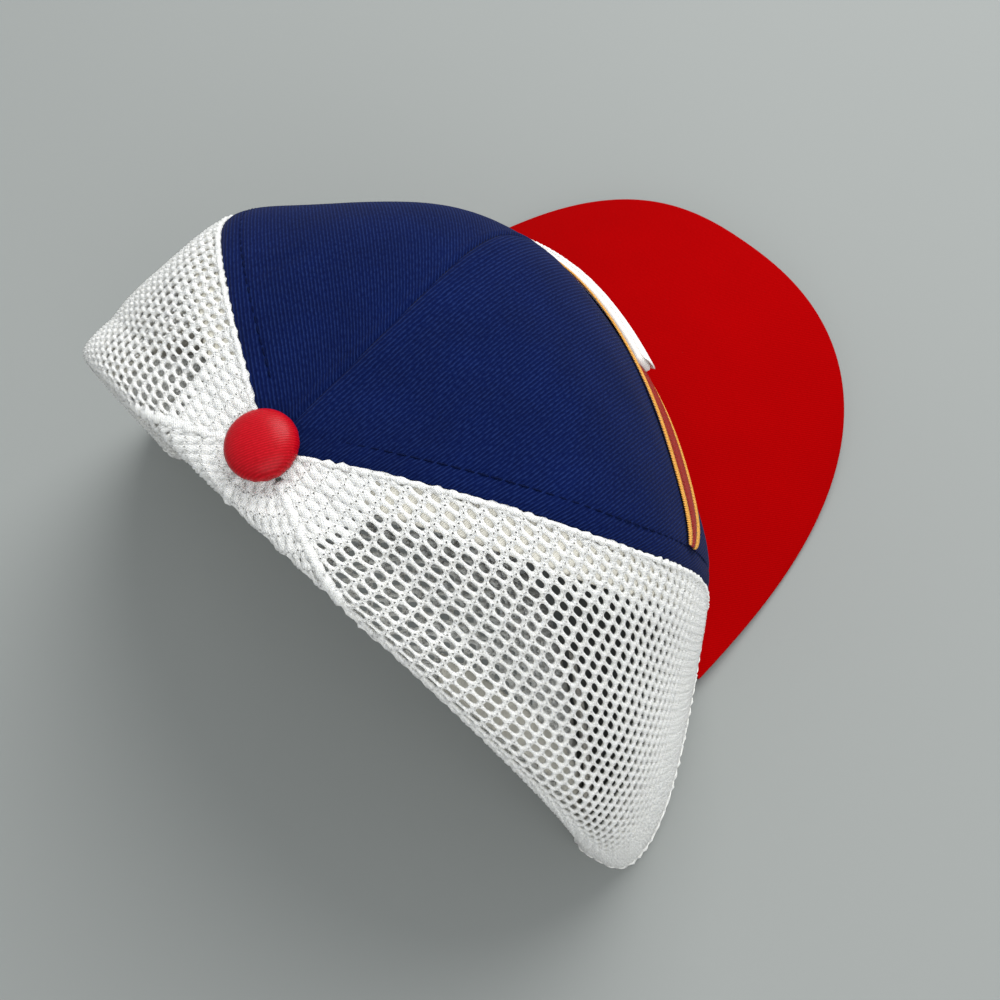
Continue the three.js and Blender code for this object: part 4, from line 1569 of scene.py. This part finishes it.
# Places in metres, and the camera's roll in degrees
CAMERA = {"place": (-0.12757, 0.13500, 0.34940), "aim": (-0.02157, 0.04006, 0.06), "roll": -4.567}
KEY = {"place": (0.2, -0.76, 1.05), "size": 1.1}
FILL = {"place": (-0.9, 0.5, 0.8), "size": 1.4}


def aim_at(obj, place, aim, roll=0.0):
    """Puts a lamp or camera at a place, looking at a point, rolled about its own axis by some degrees."""
    obj.location = place
    back = Vector(place) - Vector(aim)
    turn = back.to_track_quat("Z", "Y").to_matrix() @ Matrix.Rotation(math.radians(roll), 3, "Z")
    obj.rotation_euler = turn.to_euler()


def make_floor(colour_shown):
    """A plain disc of matt painted board, with hardly any unevenness."""
    disc = bmesh.new()
    bmesh.ops.create_circle(disc, cap_ends=True, segments=96, radius=4.0)
    mesh = bpy.data.meshes.new("floor")
    disc.to_mesh(mesh)
    disc.free()
    material, tree, principled = new_material("Matt painted board", roughness=0.7, specular_ior_level=0.1)
    place = add_node(tree, "ShaderNodeTexCoord").outputs["Object"]
    cloud = add_node(tree, "ShaderNodeTexNoise", {"Vector": place, "Scale": 3.0, "Detail": 2.0})
    ramp = add_node(tree, "ShaderNodeValToRGB", {"Fac": cloud})
    ramp.color_ramp.elements[0].color = tuple(c * 0.97 for c in colour_shown[:3]) + (1,)
    ramp.color_ramp.elements[1].color = colour_shown
    feed(tree, principled, {"Base Color": ramp})
    mesh.materials.append(material)
    return bpy.data.objects.new("floor", mesh)


def make_lamp(name, spot, power):
    """A large round soft light aimed at the hat."""
    lamp = bpy.data.lights.new(name, "AREA")
    lamp.shape, lamp.size, lamp.energy = "DISK", spot["size"], power
    holder = bpy.data.objects.new(name, lamp)
    aim_at(holder, spot["place"], (0, 0, 0.05))
    return holder


def make_surround(strength):
    """An even pale light from all round."""
    world = bpy.data.worlds.new("surround")
    world.use_nodes = True
    background = world.node_tree.nodes["Background"]
    feed(world.node_tree, background, {"Color": linear("#e9edf0"), "Strength": strength})
    return world


def make_camera(lens):
    camera = bpy.data.cameras.new("camera")
    camera.lens, camera.sensor_width, camera.clip_start = lens, 36, 0.01
    eye = bpy.data.objects.new("camera", camera)
    aim_at(eye, CAMERA["place"], CAMERA["aim"], CAMERA["roll"])
    return eye


class HAT_OT_stage(bpy.types.Operator):
    """Make the floor, the soft lights and the camera"""

    bl_idname = "hat.stage"
    bl_label = "Stage"

    def execute(self, context):
        look = settings("hat_stage")
        floor = make_floor(look.floor_colour)
        lamps = [make_lamp("key", KEY, look.key_power), make_lamp("fill", FILL, look.fill_power)]
        camera = make_camera(look.lens)
        for made in (floor, *lamps, camera):
            context.scene.collection.objects.link(made)
        context.scene.world = make_surround(look.surround)
        context.scene.view_settings.view_transform = "Standard"
        context.scene.camera = camera
        return {"FINISHED"}


class HAT_PT_parts(bpy.types.Panel):
    """Lists the hat's pieces and their settings"""

    bl_label = "Trucker Hat"
    bl_idname = "HAT_PT_parts"
    bl_space_type = "VIEW_3D"
    bl_region_type = "UI"
    bl_category = "Hat"

    def draw(self, context):
        for group in GROUPS:
            held = getattr(context.scene, group)
            box = self.layout.box()
            for name in held.__annotations__:
                box.prop(held, name)
        for operator in PIECES:
            self.layout.operator(operator.bl_idname)


GROUPS = {
    "hat_cloth": HatCloth, "hat_net": HatNet, "hat_trim": HatTrim,
    "hat_finish": HatFinish, "hat_stage": HatStage,
}
PIECES = (
    HAT_OT_stage, HAT_OT_front_panels, HAT_OT_net_panels, HAT_OT_tapes, HAT_OT_sweatband,
    HAT_OT_closure, HAT_OT_button, HAT_OT_brim, HAT_OT_emblem, HAT_OT_topstitching,
)


def register():
    for name, group in GROUPS.items():
        bpy.utils.register_class(group)
        setattr(bpy.types.Scene, name, bpy.props.PointerProperty(type=group))
    for operator in PIECES:
        bpy.utils.register_class(operator)
    bpy.utils.register_class(HAT_PT_parts)


def unregister():
    bpy.utils.unregister_class(HAT_PT_parts)
    for operator in reversed(PIECES):
        bpy.utils.unregister_class(operator)
    for name, group in reversed(GROUPS.items()):
        delattr(bpy.types.Scene, name)
        bpy.utils.unregister_class(group)


def main():
    register()
    for operator in PIECES:
        family, name = operator.bl_idname.split(".")
        getattr(getattr(bpy.ops, family), name)()


if __name__ == "__main__":
    main()
